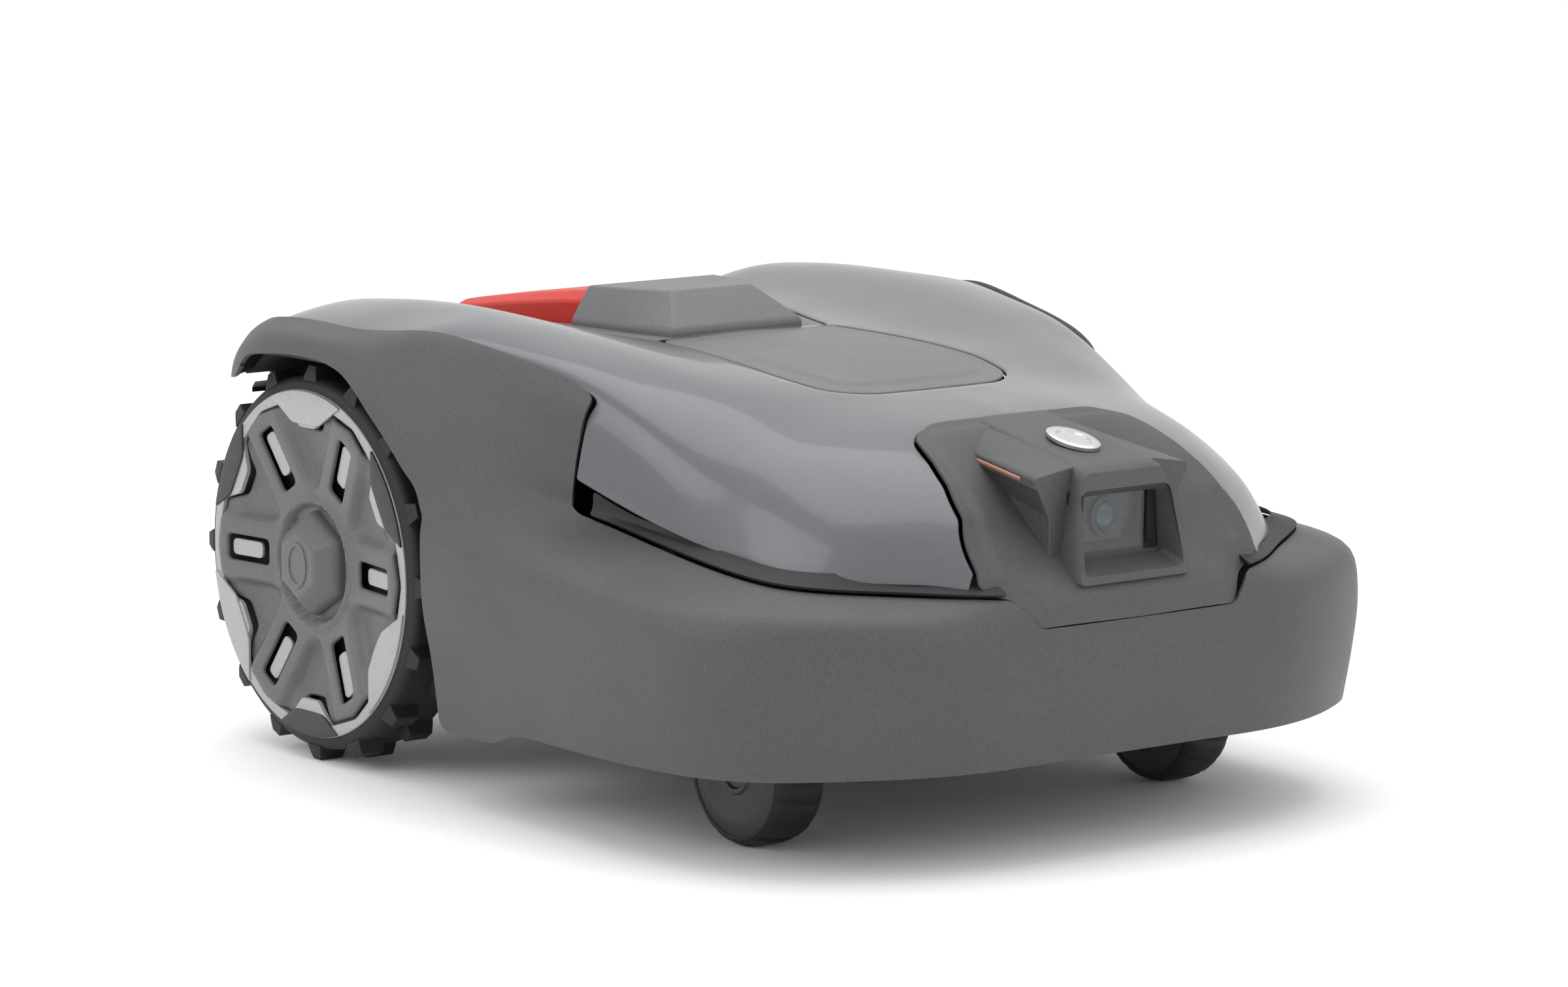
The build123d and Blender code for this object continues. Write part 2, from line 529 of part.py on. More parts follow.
# ---------------------------------------------------------------- cutting deck
def make_cutter():
    body = upright(0, BLADE_Y, 66, 128, CARRIAGE_R)
    body = fillet(body.edges().group_by(Axis.Z)[-1], 6)
    nut = block(40, SCREW_X + 8, BLADE_Y - 8, BLADE_Y + 8, 100, 114) - upright(SCREW_X, BLADE_Y, 90, 130, 4.1)
    guides = [block(GUIDE_X - 8, -30, BLADE_Y + d - 8, BLADE_Y + d + 8, 100, 116) for d in (-GUIDE_DY, GUIDE_DY)]
    guides = [g - upright(GUIDE_X, BLADE_Y + d, 90, 130, 4.06) for g, d in zip(guides, (-GUIDE_DY, GUIDE_DY))]
    save("cutter_carriage", body + nut + guides - upright(0, BLADE_Y, 60, 100, 6.06))
    rods = [upright(GUIDE_X, BLADE_Y + d, TRAY_Z + SKIN, LID_TOP - SKIN, 4) for d in (-GUIDE_DY, GUIDE_DY)]
    save("guide_rods", grouped(rods))
    save("height_screw", upright(SCREW_X, BLADE_Y, TRAY_Z + 5, 148, 4))
    save("height_motor", upright(SCREW_X, BLADE_Y, 149, 162.5, 12))
    z = BLADE_DISC_Z
    disc = upright(0, BLADE_Y, z, z + 2.5, BLADE_DISC_R) + upright(0, BLADE_Y, z + 2.5, z + 10, 22)
    disc -= upright(0, BLADE_Y, 0, 100, 6)
    for i in range(BLADE_COUNT):
        a = radians(90 + 360 * i / BLADE_COUNT)
        px, py = BLADE_PIVOT_R * cos(a), BLADE_Y + BLADE_PIVOT_R * sin(a)
        disc -= upright(px, py, z - 1, z + 3, 2.6)
        slot_a = a + pi / BLADE_COUNT
        disc -= upright(58 * cos(slot_a), BLADE_Y + 58 * sin(slot_a), z - 1, z + 3, 14)
        blade = block(-9, 9, -8, BLADE_TIP_R - BLADE_PIVOT_R, z - 1.4, z - 0.6)
        blade = chamfer(blade.edges().filter_by(Axis.Z).group_by(Axis.Y)[-1], 4) - upright(0, 0, 0, 100, 3.0)
        save(f"blade_{i + 1}", Pos(px, py, 0) * Rot(0, 0, degrees(a) - 90) * blade)
    save("blade_disc", disc)
    screws = []
    for i in range(BLADE_COUNT):
        a = radians(90 + 360 * i / BLADE_COUNT)
        px, py = BLADE_PIVOT_R * cos(a), BLADE_Y + BLADE_PIVOT_R * sin(a)
        screws.append(upright(px, py, z - 1.8, z + 5, 2.5) + upright(px, py, z - 4.0, z - 1.8, 5))
    save("blade_screws", grouped(screws))
    save("cutter_shaft", upright(0, BLADE_Y, 29.5, 90, 6) - upright(0, BLADE_Y, 28, 34, 2.4))
    skid = upright(0, BLADE_Y, 32, 34, 74) + upright(0, BLADE_Y, 34, 37.5, 16)
    save("skid_plate", skid - upright(0, BLADE_Y, 0, 100, 6.06))


# ---------------------------------------------------------------- float frames and controls
def frame_ring(z):
    outer = round_upright_edges(block(-FLOAT_X, FLOAT_X, FLOAT_Y0, FLOAT_Y1, z, z + FLOAT_T), 12)
    w = FLOAT_W
    return outer - block(-FLOAT_X + w, FLOAT_X - w, FLOAT_Y0 + w, FLOAT_Y1 - w, z - 1, z + FLOAT_T + 1)


def make_float():
    posts = [upright(x, y, LID_TOP, FLOAT_Z, POST_R) for x in (-POST_X, POST_X) for y in POST_YS]
    save("suspension_posts", grouped(posts))
    save("float_frame_lower", frame_ring(FLOAT_Z + FLOAT_GAP))
    save("float_frame_upper", frame_ring(FLOAT_Z + FLOAT_T + 2 * FLOAT_GAP))


def make_controls():
    panel = block(-TOWER_HALF + 1, TOWER_HALF - 1, TOWER_Y0 + 1, TOWER_Y1 - 1, PANEL_Z - 4, PANEL_Z)
    panel = round_upright_edges(panel, 8)
    for name, x in BUTTONS:
        panel -= upright(x, BUTTON_Y, PANEL_Z - 5, PANEL_Z + 1, BUTTON_R + 0.4)
        cap = upright(x, BUTTON_Y, PANEL_Z - 3, PANEL_Z + 2.5, BUTTON_R)
        save(name, fillet(cap.edges().group_by(Axis.Z)[-1], 1.0))
    panel -= block(-32, 32, -32, 12, PANEL_Z - 1.5, PANEL_Z + 1)
    save("control_panel", panel)
    save("display_window", block(-31.8, 31.8, -31.8, 11.8, PANEL_Z - 1.5, PANEL_Z + 0.5))


def main():
    os.makedirs("parts", exist_ok=True)
    make_shell()
    make_chassis()
    make_power()
    for side_name, outward in (("left", 1), ("right", -1)):
        make_drive_wheel(side_name, outward)
        make_caster(side_name, outward)
    make_cutter()
    make_float()
    make_controls()


main()
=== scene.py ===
import json
from math import cos, pi, radians, sin, tau

import bmesh
import bpy
import numpy as np
from mathutils import Matrix, Vector
from mathutils.geometry import delaunay_2d_cdt


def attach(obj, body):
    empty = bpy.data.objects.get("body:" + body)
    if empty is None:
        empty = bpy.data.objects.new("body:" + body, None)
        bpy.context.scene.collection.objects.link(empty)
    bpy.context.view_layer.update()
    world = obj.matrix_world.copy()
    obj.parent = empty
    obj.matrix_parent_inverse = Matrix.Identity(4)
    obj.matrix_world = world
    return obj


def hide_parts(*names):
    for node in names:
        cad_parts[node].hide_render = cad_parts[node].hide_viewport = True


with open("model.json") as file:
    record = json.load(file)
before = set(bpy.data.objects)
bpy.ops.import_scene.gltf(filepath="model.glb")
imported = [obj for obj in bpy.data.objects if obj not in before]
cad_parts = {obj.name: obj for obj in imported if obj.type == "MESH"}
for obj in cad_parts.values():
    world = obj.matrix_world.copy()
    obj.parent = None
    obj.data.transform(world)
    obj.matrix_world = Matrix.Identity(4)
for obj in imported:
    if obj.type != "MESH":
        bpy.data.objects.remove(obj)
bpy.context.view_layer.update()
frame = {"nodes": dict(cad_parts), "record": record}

# ---- sizes, in millimetres
MM = 0.001
WALL = 3.0  # thickness of the outer panels
GAP = 1.0  # half the gap between two panels
EDGE = 1.1  # rounding of a panel's rim
GRID = 4.5  # spacing of the panel meshes

WHEEL_Y, WHEEL_Z = 197.0, 124.0
STUD_R, TYRE_R, TYRE_IN, TYRE_OUT = 124.0, 116.5, 184.0, 229.0
STUDS_PER_ROW = 16
FACE_R = 108.5  # outer radius of the wheel's face
CASTER_X, CASTER_Y, CASTER_R = 156.5, -166.5, 45.0
HATCH_AXIS_Y = -121.0
FLOAT = 5.0  # travel of the shell either way
ARCH_IN, ARCH_OUT = TYRE_IN + 2, 232  # reach of the band that lines a wheel arch
ARCH_WALL = TYRE_IN - FLOAT - 4  # inner face of the wall between a wheel and the case


# ---- smooth curves and surfaces
def hermite(knots, values, at):
    """Smooth curve through values given at increasing knots, read at the places in at."""
    knots, values = np.asarray(knots, float), np.asarray(values, float)
    slopes = np.diff(values, axis=0) / np.diff(knots)[:, None]
    h = np.diff(knots)
    tangents = np.empty_like(values)
    tangents[0], tangents[-1] = slopes[0], slopes[-1]
    blend = (h[:-1] / (h[:-1] + h[1:]))[:, None]
    tangents[1:-1] = slopes[:-1] * (1 - blend) + slopes[1:] * blend
    i = np.clip(np.searchsorted(knots, at, side="right") - 1, 0, len(h) - 1)
    t = ((np.clip(at, knots[0], knots[-1]) - knots[i]) / h[i])[:, None]
    step = h[i][:, None]
    first = values[i] * (2 * t**3 - 3 * t**2 + 1) + tangents[i] * step * (t**3 - 2 * t**2 + t)
    return first + values[i + 1] * (3 * t**2 - 2 * t**3) + tangents[i + 1] * step * (t**3 - t**2)


def softened(array, width, axis):
    """Gaussian average along one axis, with the ends continued straight on."""
    reach = int(3 * width) + 1
    weights = np.exp(-0.5 * (np.arange(-reach, reach + 1) / width) ** 2)
    weights /= weights.sum()
    a = np.moveaxis(array, axis, 0)
    head = 2 * a[0] - a[reach:0:-1]
    tail = 2 * a[-1] - a[-2:-reach - 2:-1]
    padded = np.concatenate([head, a, tail])
    out = sum(w * padded[k:k + len(a)] for k, w in enumerate(weights))
    return np.moveaxis(out, 0, axis)


MIRROR = np.array([-1.0, 1.0, 1.0])


class Surface:
    """Smooth surface lofted across rails. u runs across the rails and v along them."""

    STEP = 2.0

    def __init__(self, rails, key, spans, soft_u, soft_v, bulge):
        places = [key(*p) for p in rails[0]]
        count = int(round((max(places) - min(places)) / self.STEP)) + 1
        self.v = np.linspace(min(places), max(places), count)
        lines = []
        for rail in rails:
            rail = sorted(rail, key=lambda p: key(*p))
            lines.append(hermite([key(*p) for p in rail], rail, self.v))
        lines = softened(np.array(lines), soft_v / self.STEP, 1).reshape(len(rails), -1)
        knots = np.concatenate([[0.0], np.cumsum(spans)])
        self.u = np.linspace(0.0, knots[-1], int(round(knots[-1] / self.STEP)) + 1)
        curved = hermite(knots, lines, self.u)
        straight = np.array([np.interp(self.u, knots, column) for column in lines.T]).T
        self.grid = (bulge * curved + (1 - bulge) * straight).reshape(len(self.u), count, 3)
        self.grid = softened(self.grid, soft_u / self.STEP, 0)
        self.settle()

    def settle(self):
        """Work out the spacing and the normals of the grid."""
        self.step_u, self.step_v = self.u[1] - self.u[0], self.v[1] - self.v[0]
        normal = np.cross(np.gradient(self.grid, axis=0), np.gradient(self.grid, axis=1))
        self.normals = normal / np.linalg.norm(normal, axis=2, keepdims=True)

    def mirror_across(self):
        """Add the other side, where u is negative; u = 0 lies on the middle plane."""
        self.grid[0, :, 0] = 0.0
        self.grid = np.concatenate([self.grid[:0:-1] * MIRROR, self.grid])
        self.grid = softened(self.grid, 1.5, 0)
        self.u = np.concatenate([-self.u[:0:-1], self.u])
        self.settle()

    def mirror_along(self):
        """Add the other side before and after, where both ends of v lie on the middle plane."""
        self.grid[:, 0, 0] = self.grid[:, -1, 0] = 0.0
        front = self.grid[:, :0:-1] * MIRROR
        rear = self.grid[:, -2:-120:-1] * MIRROR
        self.grid = np.concatenate([front, self.grid, rear], axis=1)
        ahead = self.v[-1] + (self.v[-1] - self.v[-2:-120:-1])
        self.v = np.concatenate([2 * self.v[0] - self.v[:0:-1], self.v, ahead])
        self.settle()

    def read(self, table, uv):
        uv = np.asarray(uv, float)
        a = np.clip((uv[:, 0] - self.u[0]) / self.step_u, 0, len(self.u) - 1.001)
        b = np.clip((uv[:, 1] - self.v[0]) / self.step_v, 0, len(self.v) - 1.001)
        i, j = a.astype(int), b.astype(int)
        s, t = (a - i)[:, None], (b - j)[:, None]
        low = table[i, j] * (1 - s) + table[i + 1, j] * s
        high = table[i, j + 1] * (1 - s) + table[i + 1, j + 1] * s
        return low * (1 - t) + high * t

    def point(self, uv):
        return self.read(self.grid, uv)

    def normal(self, uv):
        n = self.read(self.normals, uv)
        return n / np.linalg.norm(n, axis=1, keepdims=True)

    def find(self, targets, axes):
        """uv of the surface points whose two named coordinates match the targets."""
        found = []
        table = self.grid[:, :, axes]
        for target in np.asarray(targets, float):
            miss = ((table - target) ** 2).sum(axis=2)
            i, j = np.unravel_index(miss.argmin(), miss.shape)
            uv = np.array([self.u[i], self.v[j]])
            for _ in range(6):
                here, right, ahead = self.point([uv, uv + (1, 0), uv + (0, 1)])[:, axes]
                slope = np.array([right - here, ahead - here]).T
                step, *_ = np.linalg.lstsq(slope, target - here, rcond=None)
                uv = uv + np.clip(step, -6, 6)
            found.append(uv)
        return np.array(found)


class Raised:
    """A surface lifted along its normal by an amount that depends on the distance from a closed loop."""

    def __init__(self, base, loop, start, width, height):
        self.base, self.loop = base, np.asarray(loop, float)
        self.start, self.width, self.height = start, width, height

    def lift(self, uv):
        t = np.clip((distance_to(self.loop, uv) - self.start) / self.width, 0, 1)
        return self.height * t * t * (3 - 2 * t)

    def point(self, uv):
        uv = np.asarray(uv, float)
        return self.base.point(uv) + self.base.normal(uv) * self.lift(uv)[:, None]

    def normal(self, uv):
        return slope_normal(self.point, uv)


class Relief:
    """Height over a wheel's face, outwards along +X; u and v run back and up from the axle."""

    def __init__(self, height):
        self.height = height

    def point(self, uv):
        u, v = np.asarray(uv, float).T
        return np.stack([self.height(u, v), WHEEL_Y + u, WHEEL_Z + v], axis=1)

    def normal(self, uv):
        return slope_normal(self.point, uv)


def slope_normal(point, uv):
    """Normal of a surface from the slopes of its points."""
    uv = np.asarray(uv, float)
    du = point(uv + (0.5, 0)) - point(uv - (0.5, 0))
    dv = point(uv + (0, 0.5)) - point(uv - (0, 0.5))
    n = np.cross(du, dv)
    return n / np.linalg.norm(n, axis=1, keepdims=True)


def step_up(x, low, high):
    """0 below low, 1 above high, smooth between."""
    t = np.clip((x - low) / (high - low), 0, 1)
    return t * t * (3 - 2 * t)


# ---- outlines
def rounded(points, radii):
    """Closed outline with each corner replaced by an arc-like curve of the given reach."""
    points = [np.asarray(p, float) for p in points]
    radii = [radii] * len(points) if np.isscalar(radii) else radii
    out = []
    for i, p in enumerate(points):
        before, after = points[i - 1] - p, points[(i + 1) % len(points)] - p
        la, lb = np.linalg.norm(before), np.linalg.norm(after)
        reach = min(radii[i], 0.45 * la, 0.45 * lb)
        if reach < 0.3:
            out.append(p)
            continue
        a, b = p + before / la * reach, p + after / lb * reach
        for t in np.linspace(0, 1, 7):
            out.append(a * (1 - t) ** 2 + p * 2 * t * (1 - t) + b * t**2)
    return np.array(out)


def resampled(loop, step):
    out = []
    for a, b in zip(loop, np.roll(loop, -1, axis=0)):
        n = max(1, int(np.ceil(np.linalg.norm(b - a) / step)))
        out.extend(a + (b - a) * k / n for k in range(n))
    return np.array(out)


def area(loop):
    x, y = loop[:, 0], loop[:, 1]
    return 0.5 * np.sum(x * np.roll(y, -1) - y * np.roll(x, -1))


def shifted(loop, d):
    """Closed outline moved to its left by d (inwards on a counter-clockwise loop)."""
    ahead = np.roll(loop, -1, axis=0) - loop
    ahead /= np.maximum(np.linalg.norm(ahead, axis=1, keepdims=True), 1e-9)
    left = np.stack([-ahead[:, 1], ahead[:, 0]], axis=1)
    mean = left + np.roll(left, 1, axis=0)
    size = np.linalg.norm(mean, axis=1, keepdims=True)
    mean /= np.maximum(size, 1e-6)
    turn = np.clip((mean * left).sum(axis=1, keepdims=True), 0.6, 1.0)
    return loop + mean * d / turn


def inside(loops, points):
    """Even-odd test of points against closed loops."""
    odd = np.zeros(len(points), bool)
    for loop in loops:
        for a, b in zip(loop, np.roll(loop, -1, axis=0)):
            if a[1] == b[1]:
                continue
            crosses = (a[1] > points[:, 1]) != (b[1] > points[:, 1])
            x = a[0] + (points[:, 1] - a[1]) * (b[0] - a[0]) / (b[1] - a[1])
            odd ^= crosses & (points[:, 0] < x)
    return odd


def distance_to(loop, points):
    """Distance of each point from the nearest side of a closed loop."""
    best = np.full(len(points), 1e9)
    for a, b in zip(loop, np.roll(loop, -1, axis=0)):
        ab = b - a
        t = np.clip(((points - a) @ ab) / max(ab @ ab, 1e-9), 0, 1)[:, None]
        best = np.minimum(best, np.linalg.norm(points - a - t * ab, axis=1))
    return best


# ---- building meshes
def to_object(name, verts, faces, sharp=40):
    """Mesh object from millimetre vertices, smooth but for edges over the sharp angle."""
    mesh = bpy.data.meshes.new(name)
    mesh.from_pydata((np.asarray(verts, float) * MM).tolist(), [], [list(map(int, f)) for f in faces])
    work = bmesh.new()
    work.from_mesh(mesh)
    bmesh.ops.remove_doubles(work, verts=work.verts, dist=1e-6)
    bmesh.ops.recalc_face_normals(work, faces=work.faces)
    work.to_mesh(mesh)
    work.free()
    mesh.validate()
    for polygon in mesh.polygons:
        polygon.use_smooth = True
    mesh.set_sharp_from_angle(angle=radians(sharp))
    obj = bpy.data.objects.new(name, mesh)
    bpy.context.scene.collection.objects.link(obj)
    return obj


def bevelled(obj, width, segments=2, angle=30):
    """Round the edges that turn by more than the angle."""
    bevel = obj.modifiers.new("bevel", "BEVEL")
    bevel.width = width * MM
    bevel.segments = segments
    bevel.limit_method = "ANGLE"
    bevel.angle_limit = radians(angle)
    return obj


def skin_of(rings, closed=False):
    """Vertices and faces through matching rings of points, capped at both ends unless closed."""
    rings = np.asarray(rings, float)
    count, n = rings.shape[:2]
    faces = []
    for r in range(count if closed else count - 1):
        a, b = r * n, (r + 1) % count * n
        faces += [(a + k, a + (k + 1) % n, b + (k + 1) % n, b + k) for k in range(n)]
    if not closed:
        faces += [tuple(range(n)), tuple(range((count - 1) * n, count * n))[::-1]]
    return rings.reshape(-1, 3), faces


def skinned(name, rings, closed=False, sharp=40):
    return to_object(name, *skin_of(rings, closed), sharp)


def gathered(name, parts, sharp=40):
    """One object from several (vertices, faces) parts."""
    verts, faces = [], []
    for part_verts, part_faces in parts:
        start = sum(len(v) for v in verts)
        verts.append(part_verts)
        faces += [tuple(int(v) + start for v in face) for face in part_faces]
    return to_object(name, np.concatenate(verts), faces, sharp)


def turned(profile, y, z, steps=120):
    """Closed profile of (x, radius) turned about an axle along X."""
    rings = []
    for k in range(steps):
        a = tau * k / steps
        rings.append([(x, y + r * sin(a), z + r * cos(a)) for x, r in profile])
    return skin_of(rings, closed=True)


def slab(low, high):
    """Box between two corners."""
    (x0, y0, z0), (x1, y1, z1) = low, high
    ring = [(x0, y0), (x1, y0), (x1, y1), (x0, y1)]
    return skin_of([[(x, y, z) for x, y in ring] for z in (z0, z1)])


def prism_x(points, x0, x1):
    """Outline of (y, z) points run along X."""
    return skin_of([[(x, y, z) for y, z in points] for x in (x0, x1)])


def rounded_box(y0, y1, z0, z1, r):
    """Rectangle outline with rounded corners."""
    return rounded([(y0, z0), (y1, z0), (y1, z1), (y0, z1)], r)


def trimmed(loops, grid):
    """Flat mesh between closed loops: its points, its triangles and the point numbers along each loop."""
    low, high = loops[0].min(axis=0), loops[0].max(axis=0)
    ticks_u = np.arange(low[0] + grid * 0.37, high[0], grid)
    ticks_v = np.arange(low[1] + grid * 0.41, high[1], grid)
    lattice = np.array(np.meshgrid(ticks_u, ticks_v)).reshape(2, -1).T
    lattice = lattice[inside(loops, lattice)]
    for loop in loops:
        lattice = lattice[distance_to(loop, lattice) > grid * 0.55]
    starts = np.cumsum([0] + [len(loop) for loop in loops])
    rims = [list(range(a, b)) for a, b in zip(starts, starts[1:])]
    edges = [(a, b) for rim in rims for a, b in zip(rim, rim[1:] + rim[:1])]
    flat = [Vector(p) for p in np.concatenate(loops + [lattice])]
    points, _, triangles, origins, _, _ = delaunay_2d_cdt(flat, edges, [], 0, 1e-6)
    points = np.array([tuple(p) for p in points])
    number = {old: new for new, olds in enumerate(origins) for old in olds}
    kept = inside(loops, np.array([points[list(t)].mean(axis=0) for t in triangles]))
    triangles = [tuple(t) for t, keep in zip(triangles, kept) if keep]
    return points, triangles, [np.array([number[k] for k in rim]) for rim in rims]


def panel(name, surface, loops, grid=GRID, wall=WALL, edge=EDGE):
    """Shell of one wall thickness over a trimmed surface, with a rounded rim all round."""
    flats = []
    for k, loop in enumerate(loops):
        loop = resampled(np.asarray(loop, float), grid)
        flats.append(loop if (area(loop) > 0) == (k == 0) else loop[::-1])
    points, triangles, rims = trimmed([shifted(loop, edge) for loop in flats], grid)
    outer, normal = surface.point(points), surface.normal(points)
    verts = [outer, outer - normal * wall]
    faces = triangles + [tuple(v + len(outer) for v in reversed(t)) for t in triangles]
    base = 2 * len(outer)
    for flat, ids in zip(flats, rims):
        p, n, count = outer[ids], normal[ids], len(ids)
        away = surface.point(flat) - p
        away -= n * (away * n).sum(axis=1, keepdims=True)
        away /= np.maximum(np.linalg.norm(away, axis=1, keepdims=True), 1e-9)
        verts += [p + away * edge * sin(a) - n * edge * (1 - cos(a)) for a in (pi / 6, pi / 3, pi / 2)]
        verts.append(p + away * edge - n * wall)
        rings = [ids] + [base + k * count + np.arange(count) for k in range(4)] + [ids + len(outer)]
        base += 4 * count
        for a, b in zip(rings, rings[1:]):
            faces += list(zip(a, b, np.roll(b, -1), np.roll(a, -1)))
    return to_object(name, np.concatenate(verts), faces)


def mirrored_pair(half):
    """Closed outline from a half outline that starts and ends on the middle line."""
    return list(half) + [(-x, y) for x, y in reversed(half) if x > 1e-6]


# ---- body surfaces
FRONT_CENTRE, FRONT_R = (130.0, -200.0), 120.0  # plan corner that the bumper stations turn about
REAR_CENTRE, REAR_R = (150.0, 240.0), 90.0


def around(x, y, z=0.0):
    """Distance round the mower's plan, equal to y along the side."""
    if y < FRONT_CENTRE[1]:
        if x < FRONT_CENTRE[0]:
            return FRONT_CENTRE[1] - FRONT_R * pi / 2 - (FRONT_CENTRE[0] - x)
        return FRONT_CENTRE[1] - FRONT_R * np.arctan2(FRONT_CENTRE[1] - y, x - FRONT_CENTRE[0])
    if y > REAR_CENTRE[1]:
        if x < REAR_CENTRE[0]:
            return REAR_CENTRE[1] + REAR_R * pi / 2 + (REAR_CENTRE[0] - x)
        return REAR_CENTRE[1] + REAR_R * np.arctan2(y - REAR_CENTRE[1], x - REAR_CENTRE[0])
    return y


COVER_RAILS = [
    [(0, -323, 165), (0, -303, 200), (0, -265, 226), (0, -215, 241), (0, -140, 251.5), (0, -90, 258),
     (0, -48, 261.5), (0, 0, 264.5), (0, 50, 266), (0, 150, 266), (0, 205, 264), (0, 262, 260),
     (0, 290, 255), (0, 324, 243)],
    [(50, -323, 163), (50, -303, 196), (60, -265, 221), (70, -215, 237), (66, -140, 249.5),
     (70, -90, 257), (74, -48, 261), (75, 0, 264), (76, 50, 265.5), (90, 150, 266), (100, 205, 264),
     (103, 262, 260), (104, 290, 255), (104, 324, 243)],
    [(84, -323, 160), (88, -303, 182), (112, -265, 205), (132, -215, 222), (146, -140, 238),
     (150, -90, 255), (152, -48, 266), (156, 0, 276), (160, 50, 283), (164, 110, 287), (165, 165, 287),
     (165, 215, 283.5), (163, 262, 277), (156, 290, 265), (140, 324, 245)],
    [(92, -323, 156), (98, -303, 172), (138, -265, 187), (164, -215, 198), (178, -140, 213),
     (186, -90, 236), (190.5, -55, 252), (195, -30, 260), (203, 28, 270), (210, 73, 276),
     (214, 90, 276.6), (217.5, 117, 273), (220, 152, 270.5), (220, 205, 271.5), (220, 250, 269),
     (208, 282, 260), (168, 324, 238)],
    [(98, -323, 150), (103, -303, 164), (150, -268, 165), (171, -240, 167), (185, -185, 173),
     (190, -115, 183), (200, -47, 203), (212, 0, 222), (226, 50, 240), (236, 90, 250), (240, 152, 256),
     (240, 205, 258), (238, 250, 256), (226, 285, 246), (190, 324, 226)],
]
COVER_SPANS = [74.0, 80.0, 52.0, 42.0]
U_SEAM, U_LIP = np.cumsum(COVER_SPANS)[-2:]

SHELL_RAILS = [
    [(0, -312, 36), (104, -308, 36), (178, -281, 36), (220, -245, 36), (236, -160, 34), (234, 40, 34),
     (232, 150, 40), (228, 240, 50), (215, 270, 60), (150, 314, 66), (0, 314, 66)],
    [(0, -319, 88), (46, -319, 88), (122, -316, 88), (185, -288, 88), (229, -248, 88), (243, -211, 88),
     (246, -160, 88), (244, -53, 90), (241, 40, 92), (242, 150, 95), (240, 240, 95), (230, 276, 95),
     (160, 318, 98), (0, 318, 98)],
    [(0, -321, 118), (46, -321, 118), (121, -318, 118), (187, -290, 118), (232, -250, 118),
     (246, -211, 118), (250, -160, 118), (250, -53, 122), (249, 40, 130), (248, 150, 150),
     (245, 240, 150), (234, 277, 145), (165, 322, 140), (0, 323, 140)],
    [(0, -320, 142), (46, -319.5, 142), (116, -316, 143), (178, -291, 146), (226, -252, 147),
     (241, -220, 147), (247, -180, 146.5), (249, -137, 147.5), (250, -79, 155), (250, 8, 161),
     (249, 45, 164), (248, 100, 190), (247, 150, 215), (246, 240, 210), (235, 277, 195), (167, 322, 185),
     (0, 323, 185)],
    [(0, -315, 153), (46, -314, 153), (104, -309, 155), (140, -282, 156.5), (168, -262, 158),
     (187, -248, 160), (196, -197, 163), (192, -119, 170), (194, -60, 179), (200, -38, 184.5),
     (215, -10, 189), (230, 18, 188), (243, 45, 180), (247, 75, 205), (247, 110, 236), (247, 150, 246),
     (245, 240, 242), (233, 277, 228), (167, 321, 215), (0, 322, 215)],
    [(0, -306, 158), (46, -305, 158), (97, -300, 159), (132, -272, 160.5), (160, -252, 161.5),
     (178, -240, 163), (186, -195, 166), (183, -119, 174), (189, -62, 187), (199, -44, 197),
     (209, -15, 204), (222, 18, 209), (236, 45, 208), (242, 75, 226), (243, 110, 247), (243, 150, 255),
     (242, 240, 251), (231, 277, 240), (164, 318, 228), (0, 319, 229)],
    [(0, -296, 168), (46, -295, 168), (90, -290, 168), (124, -262, 169), (150, -243, 170),
     (170, -232, 171), (178, -190, 176), (178, -119, 186), (189, -66, 206), (196, -44, 216),
     (205, -20, 225), (215, 18, 235), (226, 50, 245), (232, 92, 256), (235, 130, 263), (237, 160, 264.5),
     (237, 240, 261), (227, 275, 250), (160, 314, 237), (0, 316, 238)],
    [(0, -286, 176), (46, -286, 176), (86, -282, 176), (116, -254, 178), (140, -235, 180),
     (160, -222, 184), (168, -185, 196), (172, -119, 214), (186, -70, 238), (190.5, -55, 252),
     (195, -30, 260), (203, 28, 270), (210, 73, 276), (214, 90, 276.6), (217.5, 117, 273),
     (220, 152, 270.5), (220, 205, 271.5), (220, 250, 269), (210, 278, 261), (150, 307, 247),
     (0, 309, 248)],
    [(0, -280, 182), (46, -280, 182), (80, -276, 182), (108, -248, 186), (130, -229, 190),
     (150, -215, 196), (158, -180, 206), (162, -119, 226), (177, -70, 250), (181, -55, 258),
     (186, -30, 265), (194, 28, 274), (201, 73, 279), (205, 90, 279.6), (208, 117, 277), (211, 152, 274),
     (211, 205, 275), (211, 250, 272), (202, 270, 266), (146, 298, 251), (0, 300, 252)],
]
SHELL_SPANS = [52.0, 31.0, 30.0, 32.0, 18.0, 28.0, 36.0, 9.0]
U_UPPER, U_EDGE, U_SHOULDER, U_DIAGONAL, U_WING, U_TOP = np.cumsum(SHELL_SPANS)[-6:]

cover_surface = Surface(COVER_RAILS, lambda x, y, z: y, COVER_SPANS, 9, 14, 0.85)
cover_surface.mirror_across()
shell_surface = Surface(SHELL_RAILS, around, SHELL_SPANS, 5, 12, 0.6)


def limited(value, start, limit):
    """Values past start are eased in so that they never pass the limit."""
    room = limit - start
    return np.where(value > start, start + room * np.tanh((value - start) / room), value)


shell_surface.grid[:, :, 0] = limited(shell_surface.grid[:, :, 0], 242.0, 248.7)
shell_surface.grid[:, :, 1] = limited(shell_surface.grid[:, :, 1], 311.0, 320.2)
shell_surface.grid[:, :, 1] = -limited(-shell_surface.grid[:, :, 1], 315.0, 321.5)
V_FRONT, V_BACK = shell_surface.v[0], shell_surface.v[-1]
shell_surface.mirror_along()


# ---- panels cut from the surfaces
def plan_half(points):
    """uv on the cover of plan points (x, y)."""
    return [tuple(p) for p in cover_surface.find(points, [0, 1])]


